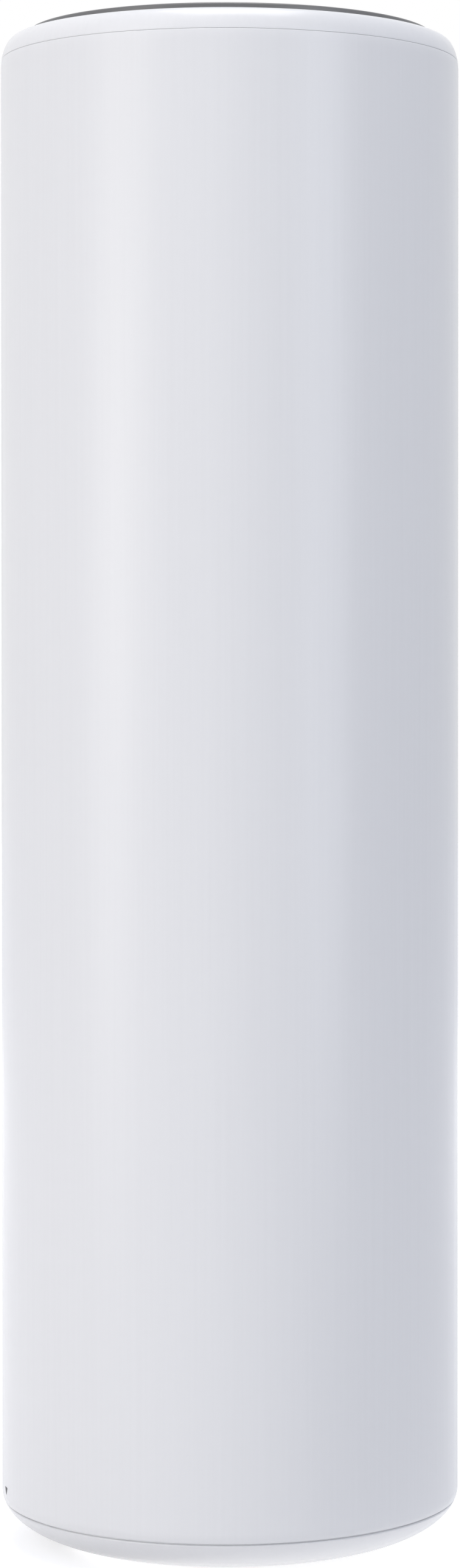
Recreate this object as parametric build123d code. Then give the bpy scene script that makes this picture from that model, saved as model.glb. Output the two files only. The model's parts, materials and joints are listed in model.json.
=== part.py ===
"""Tower air purifier: a plain upright cylinder that stands on a removable base.

Room air enters through slots in the rear of the shell, passes a cylindrical
filter from outside to inside, is drawn up through a bellmouth by a backward
curved impeller, straightened by stator vanes and blown out of the dark grille
on top.  Lengths are millimetres, Z is up, the front faces -Y and the origin
is on the floor at the middle of the foot ring.
"""
from build123d import *
import math
import os

# ---- overall form -------------------------------------------------------
overall_height = 690.0      # floor to the rim of the outlet grille
body_radius = 105.0
shell_bore_radius = 102.5   # straight inside of the outer shell
shell_wall = body_radius - shell_bore_radius
foot_height = 1.5           # how far the rubber foot stands out of the base
base_flat_radius = 63.7     # flat of the base, inside its rounding
base_round_rise = 21.7      # height of the rounding under the body
top_round_in = 6.4          # shoulder rounding, inwards
top_round_rise = 14.0       # shoulder rounding, downwards
base_seam_z, base_seam_gap = 18.7, 0.8
seam_chamfer, edge_chamfer = 0.3, 0.5
top_seam_z, top_seam_gap = 677.0, 0.2
rim_proud = 3.2             # how far the grille rim stands above the shoulder
shoulder_top_z = overall_height - rim_proud
beyond = overall_height + 10    # longer than anything, for cutting tools

# ---- screws: radius, length, head radius, head height --------------------
base_screw = (1.3, 10.0, 3.0, 1.6)
flange_screw = (1.3, 6.5, 2.6, 2.0)
motor_screw = (1.5, 7.6, 3.2, 2.2)
board_screw = (1.05, 6.5, 2.2, 1.4)
pilot_play, shank_play = 0.05, 0.4

# ---- base ---------------------------------------------------------------
base_wall = 3.0
base_rib_count, base_rib_thickness = 8, 2.0
base_hub_radius, base_boss_radius = 13.0, 4.0
foot_outer_radius, foot_inner_radius = 62.0, 50.0
foot_sink = 1.5             # depth of the groove that holds the foot
foot_play, foot_chamfer = 0.2, 0.7
seat_z = 20.0               # the filter stands here
tray_underside_z = 17.0
tray_radius, tray_play = 100.8, 0.2
register_z = 21.0           # the tower stands here
lip_outer_radius, lip_inner_radius = 95.3, 93.3
lip_top_z, lip_bevel = 29.0, 0.8
spigot_radius, spigot_height = 30.0, 4.0
spigot_taper, spigot_wall, spigot_play = 1.5, 3.0, 0.6
base_screw_circle, base_screw_count = 70.0, 4
base_screw_turn = 22.5      # degrees from +X to the first base screw
base_screw_head_z = seat_z - 1.8
magnet_length, magnet_width, magnet_height = 16.0, 4.2, 3.0
magnet_circle, magnet_count, magnet_turn = 97.9, 4, 45.0
striker_thickness = 1.2
frame_bore_radius = lip_outer_radius + 0.3
frame_height, frame_hoop, frame_plate = 13.0, 2.2, 2.5
web_count, web_thickness = 16, 1.6
key_turn = 194.0            # degrees from +X to the key between base and tower
key_width, key_height, key_play = 5.0, 7.0, 0.5

# ---- filter -------------------------------------------------------------
filter_height, filter_radius = 330.0, 82.0
cap_plate, cap_lip = 4.0, 8.0
pleat_outer_radius, pleat_inner_radius = 77.0, 53.0
pleat_count, pleat_paper = 48, 1.6
pleat_band = 4.8            # thickness of the folded band along the radius
sleeve_radius, sleeve_thickness = 80.5, 1.0
cap_lip_bore = sleeve_radius - sleeve_thickness - 1.2
core_outer_radius, core_inner_radius = 51.0, 47.5
gasket_height = 4.0
gasket_outer_radius, gasket_inner_radius = 78.0, 64.0
filter_top_z = seat_z + filter_height
deck_z = filter_top_z + gasket_height

# ---- fan ----------------------------------------------------------------
deck_plate, deck_radius = 3.0, 101.3
throat_radius, throat_wall = 46.0, 1.4
throat_play = 1.0           # running gap between the throat and the impeller's eye
bellmouth_radius = 14.0     # rounding of the air inlet
throat_length = 3.0         # straight part above the rounding
guard_bar, guard_hub_radius, guard_spoke_reach = 2.0, 7.0, 53.0
guard_rings, guard_spoke_count = (14.0, 24.0, 34.0, 44.0), 6
housing_inner_radius, housing_wall = 92.0, 2.5
housing_outer_radius = housing_inner_radius + housing_wall
flange_radius, flange_height = 101.0, 3.0
flange_screw_circle, flange_screw_count = 97.8, 4
flange_screw_turn = 45.0    # degrees from +X to the first flange screw
column_radius, column_wall = 55.5, 2.5
column_bore_radius = column_radius - column_wall
eye_radius = throat_radius + throat_wall + throat_play
impeller_radius = 78.0
impeller_bottom_z = deck_z + 18.5
shroud_turn_radius, shroud_turn_rise = 55.0, 7.5
shroud_rise = 16.0          # from the eye to the shroud's outer edge
shroud_thickness, shroud_lip, shroud_lap = 1.8, 2.5, 0.3
blade_count, blade_thickness = 11, 2.0
blade_sweep, blade_bulge = -42.0, 0.14
blade_start_radius = throat_radius - 4.0
back_plate_z, back_plate = deck_z + 60.0, 2.0
hub_radius, nose_length = 31.0, 10.0
motor_plate_z, motor_plate = back_plate_z + 8.0, 3.0
stator_top_z = motor_plate_z + 48.0
vane_count, vane_thickness = 13, 2.2
vane_bottom_z, vane_top_z = motor_plate_z + 2, stator_top_z - 4
vane_lean, vane_bow = 0.45, 0.22        # shares of the vane's height and of its lean
duct_top_z = 668.0
strut_z, strut_width, strut_height, strut_count = 646.0, 7.0, 22.0, 3
strut_chamfer = 2.0

# ---- motor --------------------------------------------------------------
shaft_radius = 2.5
bearing_radius, bearing_height, bearing_play = 6.5, 4.0, 0.05
bearing_tube_radius, bearing_stop_radius = 9.5, 4.0
rotor_radius, rotor_wall, rotor_height = 28.0, 1.5, 24.0
rotor_bottom_z = back_plate_z + back_plate - rotor_height
magnet_ring, magnet_inset, air_gap = 2.2, 3.0, 0.6
stator_radius = rotor_radius - rotor_wall - magnet_ring - air_gap
stator_teeth, tooth_width, shoe_width, shoe_depth = 9, 3.6, 12.5, 2.0
core_wall, core_bottom_z, core_height = 2.5, rotor_bottom_z + 5, rotor_height - 9
coil_width, coil_end = 6.0, 1.6         # a coil stands this far out of the core
mount_radius, mount_plate, mount_gap = 27.0, 2.2, 0.8
mount_bottom_z, mount_top_z = rotor_bottom_z + 3.5, motor_plate_z - mount_gap
motor_screw_circle, motor_screw_count = 22.0, 3
bush_radius, bush_neck_radius, bush_bore_radius, bush_flange = 6.0, 4.0, 1.7, 2.0
motor_board_radius, motor_board_z = 23.0, mount_top_z - mount_plate - 4
motor_lead_x = -18.0        # where the motor's lead rises through its mount

# ---- top ----------------------------------------------------------------
rim_radius, rim_bore_radius = 93.2, 88.5
rim_play, rim_chamfer = 0.4, 0.8        # gap between the grille rim and the shoulder
collar_radius = rim_radius + rim_play + 2.0
shoulder_wall, shoulder_ledge = 2.5, 1.5
grille_seat_z = 676.0
fin_count, fin_thickness, fin_sweep, fin_bulge = 60, 1.6, 16.0, 0.10
fin_bottom_z, fin_top_z = 678.0, 688.4
hub_bottom_z = 672.0
panel_top_z, panel_radius, panel_plate, panel_chamfer = 688.5, 49.5, 3.0, 0.4
panel_underside_z = panel_top_z - panel_plate
ledge_z, ledge_width = 683.0, 6.5
light_ring_width, light_ring_play = 3.1, 0.1
button_travel, button_play, button_flange, button_flange_reach = 0.6, 0.35, 1.2, 1.3
button_stem_radius, button_stem_reach = 2.2, 3.1
button_bearings = {"speed_button": -135.0, "mode_button": -90.0, "timer_button": -45.0}
switch_size, switch_height, plunger_radius, plunger_height = 6.0, 3.5, 1.7, 0.6
button_circle, power_button_radius, side_button_radius = 30.0, 10.0, 7.5
board_thickness = 1.6
control_board_z, control_board_radius = 676.0, 45.0
post_circle, post_radius, post_count, post_turn = 38.0, 2.6, 3, 90.0
post_bore_radius = 1.1

# ---- rear ---------------------------------------------------------------
intake_bottom_z = 62.0
slot_rows, slot_columns = 3, 29
slot_height, slot_gap = 84.0, 10.0
slot_width, slot_pitch = 3.6, 4.8       # pitch in degrees
inlet_z = 44.0              # height of the mains socket
inlet_width, inlet_height, inlet_depth, inlet_play = 26.0, 16.0, 15.0, 0.4
inlet_flange_reach, inlet_flange_depth = 2.5, 5.5
inlet_face_y = body_radius - 0.9
socket_width, socket_height, socket_depth = 16.4, 7.9, 12.0
pin_radius, pin_spacing, pin_length = 1.2, 8.6, 9.0

# ---- electrics inside ---------------------------------------------------
power_board_y = 8.0
power_board_bottom_z, power_board_height = 530.0, 110.0
power_board_half_width = column_bore_radius - 8.0
guide_depth, guide_width, guide_height, guide_foot = 9.0, 5.6, 90.0, 3.0
groove_depth, groove_play = 4.0, 0.1
power_board_front = power_board_y - board_thickness / 2
power_board_back = power_board_y + board_thickness / 2
lead_radius, thin_lead_radius, lead_play = 1.9, 1.2, 0.3
lead_circle = 98.3          # leads climb between the fan housing and the shell
lead_bend = 8.0
entry_play, entry_drop = 1.2, 1.3        # room for a lead that bends into its strut
lead_drop_z = strut_z - lead_bend - 2   # leads end in their connectors at this height
mains_lead_x, sensor_lead_x = 32.0, 20.0
motor_lead_top_z = power_board_bottom_z + 8
panel_lead_x, panel_lead_y, panel_lead_bottom_z = -20.0, 4.2, 636.0
panel_lead_width, panel_lead_thickness = 12.0, 1.0
mains_connector, motor_connector = (14.0, 10.0, 10.0), (12.0, 10.0, 10.0)
panel_connector, sensor_connector = (18.0, 6.0, 8.0), (10.0, 12.0, 8.0)
board_parts = {             # place along the board and above its lower edge, then size
    "fuse": (30.0, 78.0, (10.0, 7.0, 12.0)),
    "mains_filter": (8.0, 72.0, (20.0, 16.0, 18.0)),
    "transformer": (-20.0, 44.0, (28.0, 22.0, 26.0)),
}
capacitor_radius, capacitor_x, capacitor_foot, capacitor_height = 8.0, 12.0, 36.0, 25.0
sensor_turn = 120.0         # degrees from +X to the particle sensor
sensor_width, sensor_height, sensor_depth = 36.0, 44.0, 12.0
sensor_bottom_z, sensor_outer_x = 296.0, 100.0
port_radius, port_depth, port_y, port_height = 4.0, 4.0, 8.0, 12.0
bracket_wall, bracket_height = 2.0, 26.0

UP = (Align.CENTER, Align.CENTER, Align.MIN)
DOWN = (Align.CENTER, Align.CENTER, Align.MAX)
OUT = (Align.MIN, Align.CENTER, Align.CENTER)
OUT_UP = (Align.MIN, Align.CENTER, Align.MIN)


# ---- shared shapes ------------------------------------------------------
def drum(radius, bottom, top):
    """Solid cylinder on the Z axis between two heights."""
    return Pos(0, 0, bottom) * Cylinder(radius, top - bottom, align=UP)


def ring(outer, inner, bottom, top):
    """Flat-ended ring about the Z axis."""
    return Pos(0, 0, bottom) * extrude(Circle(outer) - Circle(inner), top - bottom)


def lathe(*outline):
    """Solid turned about the Z axis from a closed outline of (radius, height) points."""
    return revolve(Plane.XZ * make_face(Polyline(*outline, close=True)), Axis.Z)


def upright(x, y, radius, bottom, top):
    """Vertical round bar away from the middle, also used to cut holes."""
    return Pos(x, y, 0) * drum(radius, bottom, top)


def around(piece, count, start=0.0):
    """The piece repeated evenly about the Z axis."""
    return [Rot(0, 0, start + 360.0 * i / count) * piece for i in range(count)]


def sum_of(pieces):
    """One shape from many."""
    return pieces[0] + pieces[1:]


def envelope(inset=0.0):
    """The purifier's whole outer form, or the same form inset evenly all round."""
    floor_z = foot_height + inset
    side = body_radius - inset
    top = shoulder_top_z - inset
    low_centre = (base_flat_radius, foot_height + base_round_rise)
    high_centre = (body_radius - top_round_in, shoulder_top_z - top_round_rise)
    outline = [
        Line((0, floor_z), (base_flat_radius, floor_z)),
        EllipticalCenterArc(low_centre, side - base_flat_radius, base_round_rise - inset, 270, arc_size=90),
        Line((side, low_centre[1]), (side, high_centre[1])),
        EllipticalCenterArc(high_centre, top_round_in - inset, top_round_rise - inset, 0, arc_size=90),
        Line((high_centre[0], top), (0, top)),
        Line((0, top), (0, floor_z)),
    ]
    return revolve(Plane.XZ * make_face(outline), Axis.Z)


def band(bottom, top):
    """Slice of the whole outer form between two heights."""
    return envelope() & drum(beyond, bottom, top)


def screw(radius, length, head_radius, head_height):
    """Screw with its head upwards and the underside of the head at the origin."""
    head = Cylinder(head_radius, head_height, align=UP)
    return head + Cylinder(radius, length, align=DOWN)


def curved_plate(inner_radius, outer_radius, sweep_angle, bulge, thickness):
    """Plan view of one curved blade that runs from an inner to an outer radius."""
    turn = math.radians(sweep_angle)
    root = Vector(inner_radius, 0)
    tip = Vector(outer_radius * math.cos(turn), outer_radius * math.sin(turn))
    middle = (root + tip) / 2 + Vector(tip.Y - root.Y, root.X - tip.X) * bulge
    return SlotArc(ThreePointArc(root, middle, tip), height=thickness)


def flange_screws(head_z, head_up):
    """Screws round a flange joint, with the undersides of their heads at one height."""
    one = screw(*flange_screw)
    if not head_up:
        one = Rot(180, 0, 0) * one
    return around(Pos(flange_screw_circle, 0, head_z) * one, flange_screw_count, flange_screw_turn)


def flange_holes():
    """Holes for the screws that join two flanges."""
    hole = upright(flange_screw_circle, 0, flange_screw[0] + pilot_play, 0, beyond)
    return around(hole, flange_screw_count, flange_screw_turn)


def lead_holes():
    """Holes that let the mains lead and the sensor lead climb past a flange."""
    mains = upright(lead_circle, 0, lead_radius + lead_play, 0, beyond)
    sensor = upright(lead_circle, 0, thin_lead_radius + lead_play, 0, beyond)
    return [mains, Rot(0, 0, sensor_turn) * sensor]


def strut_bores():
    """Level holes through which both leads enter the column, wider where a lead bends in."""
    bore = Rot(0, 90, 0) * Cylinder(lead_radius + lead_play, body_radius / 2, align=UP)
    entry = Rot(0, 90, 0) * Cylinder(lead_radius + entry_play, 2 * housing_wall, align=UP)
    bore = Pos(column_bore_radius - 2 * column_wall, 0, strut_z) * bore
    bore += Pos(housing_inner_radius - lead_play, 0, strut_z - entry_drop) * entry
    return [bore, Rot(0, 0, sensor_turn) * bore]


def motor_lead_hole():
    return upright(motor_lead_x, 0, thin_lead_radius + 1, 0, beyond)


def routed(*corners):
    """Path of straight runs joined by square bends."""
    points = [Vector(*corner) for corner in corners]
    start = points[0]
    path = []
    for before, corner, after in zip(points, points[1:], points[2:]):
        arriving, leaving = (corner - before).normalized(), (after - corner).normalized()
        bend_start, bend_end = corner - arriving * lead_bend, corner + leaving * lead_bend
        middle = corner + (leaving - arriving) * lead_bend * (1 - math.sqrt(0.5))
        path += [Line(start, bend_start), ThreePointArc(bend_start, middle, bend_end)]
        start = bend_end
    return path + [Line(start, points[-1])]


def cord(path, radius):
    """Round lead along a path."""
    return sweep(Plane(origin=path[0] @ 0, z_dir=path[0] % 0) * Circle(radius), Wire(path))


# ---- base ---------------------------------------------------------------
def make_base_cover():
    """Rounded bowl with ribs, screw bosses and the groove of the foot ring."""
    top = base_seam_z - base_seam_gap / 2
    bowl = band(foot_height, top) - envelope(base_wall)
    bowl = chamfer(bowl.edges().group_by(Axis.Z)[-1].sort_by(SortBy.LENGTH)[-1], edge_chamfer)
    rib = Pos(base_hub_radius, 0, 0) * Box(body_radius, base_rib_thickness, beyond, align=OUT_UP)
    boss = upright(base_screw_circle, 0, base_boss_radius, 0, beyond)
    hub = ring(base_hub_radius + 1, base_hub_radius - 1, 0, beyond)
    stiffening = sum_of([hub] + around(rib, base_rib_count) + around(boss, base_screw_count, base_screw_turn))
    room = envelope(base_wall / 2) & drum(body_radius, 0, tray_underside_z)
    groove = ring(foot_outer_radius + foot_play, foot_inner_radius - foot_play, 0, foot_height + foot_sink)
    pilot = upright(base_screw_circle, 0, base_screw[0] + pilot_play, foot_height + base_wall, beyond)
    return bowl + (stiffening & room) - groove - around(pilot, base_screw_count, base_screw_turn)


def make_foot_ring():
    foot = ring(foot_outer_radius, foot_inner_radius, 0, foot_height + foot_sink)
    return chamfer(foot.edges().group_by(Axis.Z)[0], foot_chamfer)


def magnet_bar():
    """One bar magnet lying flush in the seat of the tower."""
    return Pos(magnet_circle, 0, register_z) * Box(magnet_width, magnet_length, magnet_height, align=DOWN)


def striker_plate():
    """Steel plate that a base magnet pulls on."""
    return Pos(magnet_circle, 0, register_z) * Box(magnet_width, magnet_length, striker_thickness, align=UP)


def key_block(width):
    """Bar across the seat of the tower that stops it turning on the base."""
    depth = frame_bore_radius + 1 - lip_inner_radius
    bar = Pos(lip_inner_radius, 0, register_z) * Box(depth, width, key_height, align=OUT_UP)
    return Rot(0, 0, key_turn) * bar


def make_base_plate():
    """Seat of the filter and of the tower, with a lip that centres the tower."""
    crown = spigot_radius - spigot_taper
    tray = lathe(
        (0, tray_underside_z), (tray_radius, tray_underside_z), (tray_radius, register_z),
        (lip_outer_radius, register_z), (lip_outer_radius, lip_top_z - lip_bevel),
        (lip_outer_radius - lip_bevel, lip_top_z), (lip_inner_radius, lip_top_z),
        (lip_inner_radius, seat_z), (spigot_radius, seat_z), (crown, seat_z + spigot_height),
        (crown - spigot_wall, seat_z + spigot_height), (crown - spigot_wall, seat_z), (0, seat_z),
    ) & envelope(base_wall + tray_play)
    shank = upright(base_screw_circle, 0, base_screw[0] + shank_play, 0, beyond)
    head = upright(base_screw_circle, 0, base_screw[2] + shank_play, base_screw_head_z, beyond)
    keyway = key_block(key_width + 2 * key_play)
    cuts = around(magnet_bar(), magnet_count, magnet_turn) + [keyway, Pos(0, 0, key_height - 1) * keyway]
    return tray - cuts - around(shank + head, base_screw_count, base_screw_turn)


def make_base_screws():
    one = Pos(base_screw_circle, 0, base_screw_head_z) * screw(*base_screw)
    return around(one, base_screw_count, base_screw_turn)


# ---- filter -------------------------------------------------------------
def star(outer, inner):
    """Closed zigzag face with one outer and one inner corner for every pleat."""
    points = []
    for i in range(pleat_count):
        for step, radius in ((0.0, outer), (0.5, inner)):
            turn = 2 * math.pi * (i + step) / pleat_count
            points.append((radius * math.cos(turn), radius * math.sin(turn)))
    return make_face(Polyline(*points, close=True))


def make_filter_media():
    """Paper folded in pleats, as one closed star-shaped band."""
    paper = star(pleat_outer_radius, pleat_inner_radius + pleat_paper)
    paper -= star(pleat_outer_radius - pleat_band, pleat_inner_radius)
    return Pos(0, 0, seat_z + cap_plate + 1) * extrude(paper, filter_height - 2 * cap_plate - 2)


def make_carbon_core():
    bottom, top = seat_z + cap_plate + 1, filter_top_z - cap_plate - 1
    return ring(core_outer_radius, core_inner_radius, bottom, top)


def make_prefilter_sleeve():
    reach = cap_plate + cap_lip
    return ring(sleeve_radius, sleeve_radius - sleeve_thickness, seat_z + reach, filter_top_z - reach)


def make_filter_bottom_cap():
    """Closed cap whose underside drops over the spigot of the base."""
    lip_top = seat_z + cap_plate + cap_lip
    floor = seat_z + cap_plate + 1
    recess = seat_z + spigot_height + spigot_play
    return lathe(
        (spigot_radius + spigot_play, seat_z), (filter_radius - 1, seat_z), (filter_radius, seat_z + 1),
        (filter_radius, lip_top), (cap_lip_bore, lip_top), (cap_lip_bore, floor),
        (core_inner_radius - 1, floor), (spigot_radius + cap_plate, floor + 2), (0, floor + 2),
        (0, recess), (spigot_radius - spigot_taper / 2, recess),
    )


def make_filter_top_cap():
    lip_bottom = filter_top_z - cap_plate - cap_lip
    ceiling = filter_top_z - cap_plate - 1
    return lathe(
        (core_inner_radius, ceiling), (core_inner_radius, filter_top_z),
        (filter_radius - 1, filter_top_z), (filter_radius, filter_top_z - 1),
        (filter_radius, lip_bottom), (cap_lip_bore, lip_bottom), (cap_lip_bore, ceiling),
    )


# ---- tower shell --------------------------------------------------------
def slot_bars():
    """Every intake slot, as round-ended bars that point outwards through the rear wall."""
    foot = (0, shell_bore_radius - shell_wall, slot_height / 2)
    inside = Plane(origin=foot, x_dir=(0, 0, 1), z_dir=(0, 1, 0))
    bar = extrude(inside * SlotOverall(slot_height, slot_width), 3 * shell_wall)
    first = -slot_pitch * (slot_columns - 1) / 2
    bars = []
    for row in range(slot_rows):
        z = intake_bottom_z + row * (slot_height + slot_gap)
        for column in range(slot_columns):
            bars.append(Rot(0, 0, first + column * slot_pitch) * Pos(0, 0, z) * bar)
    return bars


def make_outer_shell():
    """Smooth tube with rows of intake slots at the rear and a window for the mains socket."""
    shell = band(base_seam_z + base_seam_gap / 2, top_seam_z - top_seam_gap / 2)
    shell -= drum(shell_bore_radius, 0, beyond)
    window = Box(inlet_width + inlet_play, 4 * shell_wall, inlet_height + inlet_play)
    window = Pos(0, body_radius, inlet_z) * window
    shell = shell - slot_bars() - window
    return chamfer(shell.edges().group_by(Axis.Z)[0].sort_by(SortBy.LENGTH)[-1], seam_chamfer)


def make_lower_frame():
    """Ribbed ring in the foot of the shell that stands on the base and carries the strikers."""
    bore, top = frame_bore_radius, register_z + frame_height
    hoop = ring(bore + frame_hoop, bore, register_z, top)
    web = Pos(bore, 0, register_z) * Box(body_radius - bore, web_thickness, frame_height, align=OUT_UP)
    webs = sum_of(around(web, web_count, 180 / web_count)) & ring(shell_bore_radius, bore, register_z, top)
    plate = ring(shell_bore_radius, bore, register_z, register_z + frame_plate)
    return plate + hoop + webs + key_block(key_width) - around(striker_plate(), magnet_count, magnet_turn)


def make_top_ring():
    """White shoulder ring with the collar and ledge that the outlet grille drops into."""
    bottom = top_seam_z + top_seam_gap / 2
    bore = rim_radius + rim_play
    shoulder = band(bottom, shoulder_top_z) - drum(bore, 0, beyond)
    shoulder -= ring(shell_bore_radius - 1, collar_radius, 0, shoulder_top_z - shoulder_wall)
    collar = ring(collar_radius, bore, duct_top_z, shoulder_top_z)
    skirt = ring(shell_bore_radius, shell_bore_radius - 2, duct_top_z, bottom + 1)
    ledge_bottom = grille_seat_z - shoulder_wall
    ledge = ring(collar_radius, rim_bore_radius + shoulder_ledge, ledge_bottom, grille_seat_z)
    flange = ring(shell_bore_radius - 1, housing_inner_radius + 0.5, duct_top_z, duct_top_z + flange_height)
    return shoulder + collar + skirt + ledge + (flange - flange_holes())


# ---- fan ----------------------------------------------------------------
def make_fan_deck():
    """Plate over the filter with the rounded air inlet of the fan."""
    mouth = throat_radius + bellmouth_radius
    knee = deck_z + bellmouth_radius
    throat_top = knee + throat_length
    back = throat_radius + throat_wall
    upper = deck_z + deck_plate
    outline = [
        Line((throat_radius, throat_top), (throat_radius, knee)),
        CenterArc((mouth, knee), bellmouth_radius, 180, 90),
        Polyline((mouth, deck_z), (deck_radius, deck_z), (deck_radius, upper), (mouth, upper),
                 (mouth - bellmouth_radius / 2, upper + 2), (back + throat_wall, knee - 2),
                 (back, throat_top), (throat_radius, throat_top)),
    ]
    deck = revolve(Plane.XZ * make_face(outline), Axis.Z)
    return deck - flange_holes() - lead_holes()


def make_fan_guard():
    """Concentric rings on spokes that keep fingers out of the air inlet."""
    half, top = guard_bar / 2, deck_z + guard_bar
    rings = [ring(radius + half, radius - half, deck_z, top) for radius in guard_rings]
    spoke = Pos(half, 0, deck_z) * Box(guard_spoke_reach, guard_bar, guard_bar, align=OUT_UP)
    guard = sum_of(rings + around(spoke, guard_spoke_count) + [drum(guard_hub_radius, deck_z, top)])
    return guard - make_fan_deck()


def stator_vane():
    """One vane: leans into the swirl at its foot and stands upright at its top."""
    height = vane_top_z - vane_bottom_z
    lean = height * vane_lean
    line = ThreePointArc((-lean, 0), (-lean * vane_bow, height / 2), (0, height))
    inner, outer = column_radius - 1, housing_inner_radius + 1
    start = math.sqrt(inner ** 2 - (lean + vane_thickness) ** 2)
    face = Plane(origin=(start, 0, vane_bottom_z), x_dir=(0, 1, 0), z_dir=(1, 0, 0))
    block = extrude(face * SlotArc(line, height=vane_thickness), outer - start)
    return block & ring(outer, inner, 0, beyond)


def make_fan_housing():
    """Round casing, stator vanes and the cup that carries the motor, moulded in one."""
    bottom = deck_z + deck_plate
    casing = ring(housing_outer_radius, housing_inner_radius, bottom, stator_top_z)
    low_flange = ring(flange_radius, housing_inner_radius, bottom, bottom + flange_height)
    high_flange = ring(flange_radius, housing_inner_radius, stator_top_z - flange_height, stator_top_z)
    cup = ring(column_radius, column_bore_radius, motor_plate_z, stator_top_z)
    plate = ring(column_radius, bearing_tube_radius + 1, motor_plate_z, motor_plate_z + motor_plate)
    bush_hole = upright(motor_screw_circle, 0, bush_neck_radius, 0, beyond)
    plate = plate - around(bush_hole, motor_screw_count) - motor_lead_hole()
    housing = casing + low_flange + high_flange + cup + sum_of(around(stator_vane(), vane_count))
    return housing - flange_holes() - lead_holes() + plate


def make_air_duct():
    """Upper duct, with hollow struts that steady the column and let the leads in."""
    tube = ring(housing_outer_radius, housing_inner_radius, stator_top_z, duct_top_z)
    low_flange = ring(flange_radius, housing_inner_radius, stator_top_z, stator_top_z + flange_height)
    high_flange = ring(flange_radius, housing_inner_radius, duct_top_z - flange_height, duct_top_z)
    reach = housing_outer_radius - column_radius + 1
    strut = Pos(column_radius - 1, 0, strut_z) * Box(reach, strut_width, strut_height, align=OUT)
    strut = chamfer(strut.edges().filter_by(Axis.X), strut_chamfer)
    struts = sum_of(around(strut, strut_count)) & ring(housing_outer_radius, column_radius, 0, beyond)
    return tube + (low_flange - lead_holes()) + high_flange + struts - flange_holes() - strut_bores()


def make_electronics_housing():
    """Central column above the motor, with two grooved guides for the power board."""
    column = ring(column_radius, column_bore_radius, stator_top_z, hub_bottom_z)
    floor = drum(column_bore_radius + 1, stator_top_z, stator_top_z + column_wall)
    edge = power_board_half_width
    guide = Box(guide_depth, guide_width, guide_height, align=OUT_UP)
    guide = Pos(edge - 1, power_board_y, power_board_bottom_z - guide_foot) * guide
    groove = Box(2 * groove_depth, board_thickness + groove_play, power_board_height, align=OUT_UP)
    guide -= Pos(edge - groove_depth, power_board_y, power_board_bottom_z) * groove
    guide &= drum(column_bore_radius + 1, 0, beyond)
    return column + floor + guide + mirror(guide, Plane.YZ) - strut_bores() - motor_lead_hole()


# ---- impeller and motor -------------------------------------------------
def make_impeller():
    """Backward curved blades between a flared shroud and a back plate with a rounded hub."""
    z = impeller_bottom_z
    face = [(eye_radius, z), (shroud_turn_radius, z + shroud_turn_rise), (impeller_radius, z + shroud_rise)]
    passage = lathe(*face, (impeller_radius, back_plate_z + 1), (hub_radius - 2, back_plate_z + 1),
                    (hub_radius - 2, z))
    shroud = lathe(
        (eye_radius, z - shroud_lip), *[(radius, height + shroud_lap) for radius, height in face],
        (impeller_radius, z + shroud_rise - shroud_thickness),
        (shroud_turn_radius + 2 * shroud_lap, z + shroud_turn_rise - shroud_thickness),
        (eye_radius + shroud_thickness, z - 2 * shroud_lap), (eye_radius + shroud_thickness, z - shroud_lip),
    )
    blade = curved_plate(blade_start_radius, impeller_radius + 3, blade_sweep, blade_bulge, blade_thickness)
    blades = sum_of(around(Pos(0, 0, z) * extrude(blade, back_plate_z - z + 1), blade_count)) & passage
    upper = back_plate_z + back_plate
    back = drum(impeller_radius, back_plate_z, upper)
    nose_z = rotor_bottom_z + 2
    hub_outline = [
        Polyline((0, nose_z - nose_length), (0, upper), (hub_radius, upper), (hub_radius, nose_z)),
        EllipticalCenterArc((0, nose_z), hub_radius, nose_length, 0, arc_size=-90),
    ]
    hub = revolve(Plane.XZ * make_face(hub_outline), Axis.Z)
    pocket = drum(rotor_radius, rotor_bottom_z, beyond)
    return back + shroud + blades + hub - pocket - drum(shaft_radius, 0, beyond)


def make_motor_rotor():
    cup = drum(rotor_radius, rotor_bottom_z, rotor_bottom_z + rotor_height)
    hollow = drum(rotor_radius - rotor_wall, rotor_bottom_z + rotor_wall, beyond)
    return cup - hollow - drum(shaft_radius, 0, beyond)


def make_rotor_magnet():
    outer = rotor_radius - rotor_wall
    return ring(outer, outer - magnet_ring, rotor_bottom_z + magnet_inset, rotor_bottom_z + rotor_height - 1)


def make_motor_stator():
    """Laminated core with teeth that reach to the air gap."""
    tooth = Pos((stator_radius + bearing_tube_radius) / 2, 0) * Rectangle(
        stator_radius - bearing_tube_radius, tooth_width)
    shoe = Circle(stator_radius) - Circle(stator_radius - shoe_depth)
    shoe &= Pos(stator_radius, 0) * Rectangle(stator_radius, shoe_width)
    plan = sum_of([Circle(bearing_tube_radius + core_wall)] + around(tooth + shoe, stator_teeth))
    plan -= Circle(bearing_tube_radius)
    return Pos(0, 0, core_bottom_z) * extrude(plan, core_height)


def make_motor_windings():
    inner, outer = bearing_tube_radius + core_wall + 2, stator_radius - shoe_depth - air_gap / 2
    coil = Box(outer - inner, coil_width, core_height + 2 * coil_end, align=OUT_UP)
    tooth = Box(stator_radius, tooth_width, core_height, align=OUT_UP)
    coil = Pos(inner, 0, core_bottom_z - coil_end) * coil - Pos(0, 0, core_bottom_z) * tooth
    return around(coil, stator_teeth)


def make_motor_board():
    """Ring-shaped drive board between the windings and the flange of the mount."""
    return ring(motor_board_radius, bearing_tube_radius, motor_board_z, motor_board_z + board_thickness)


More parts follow.
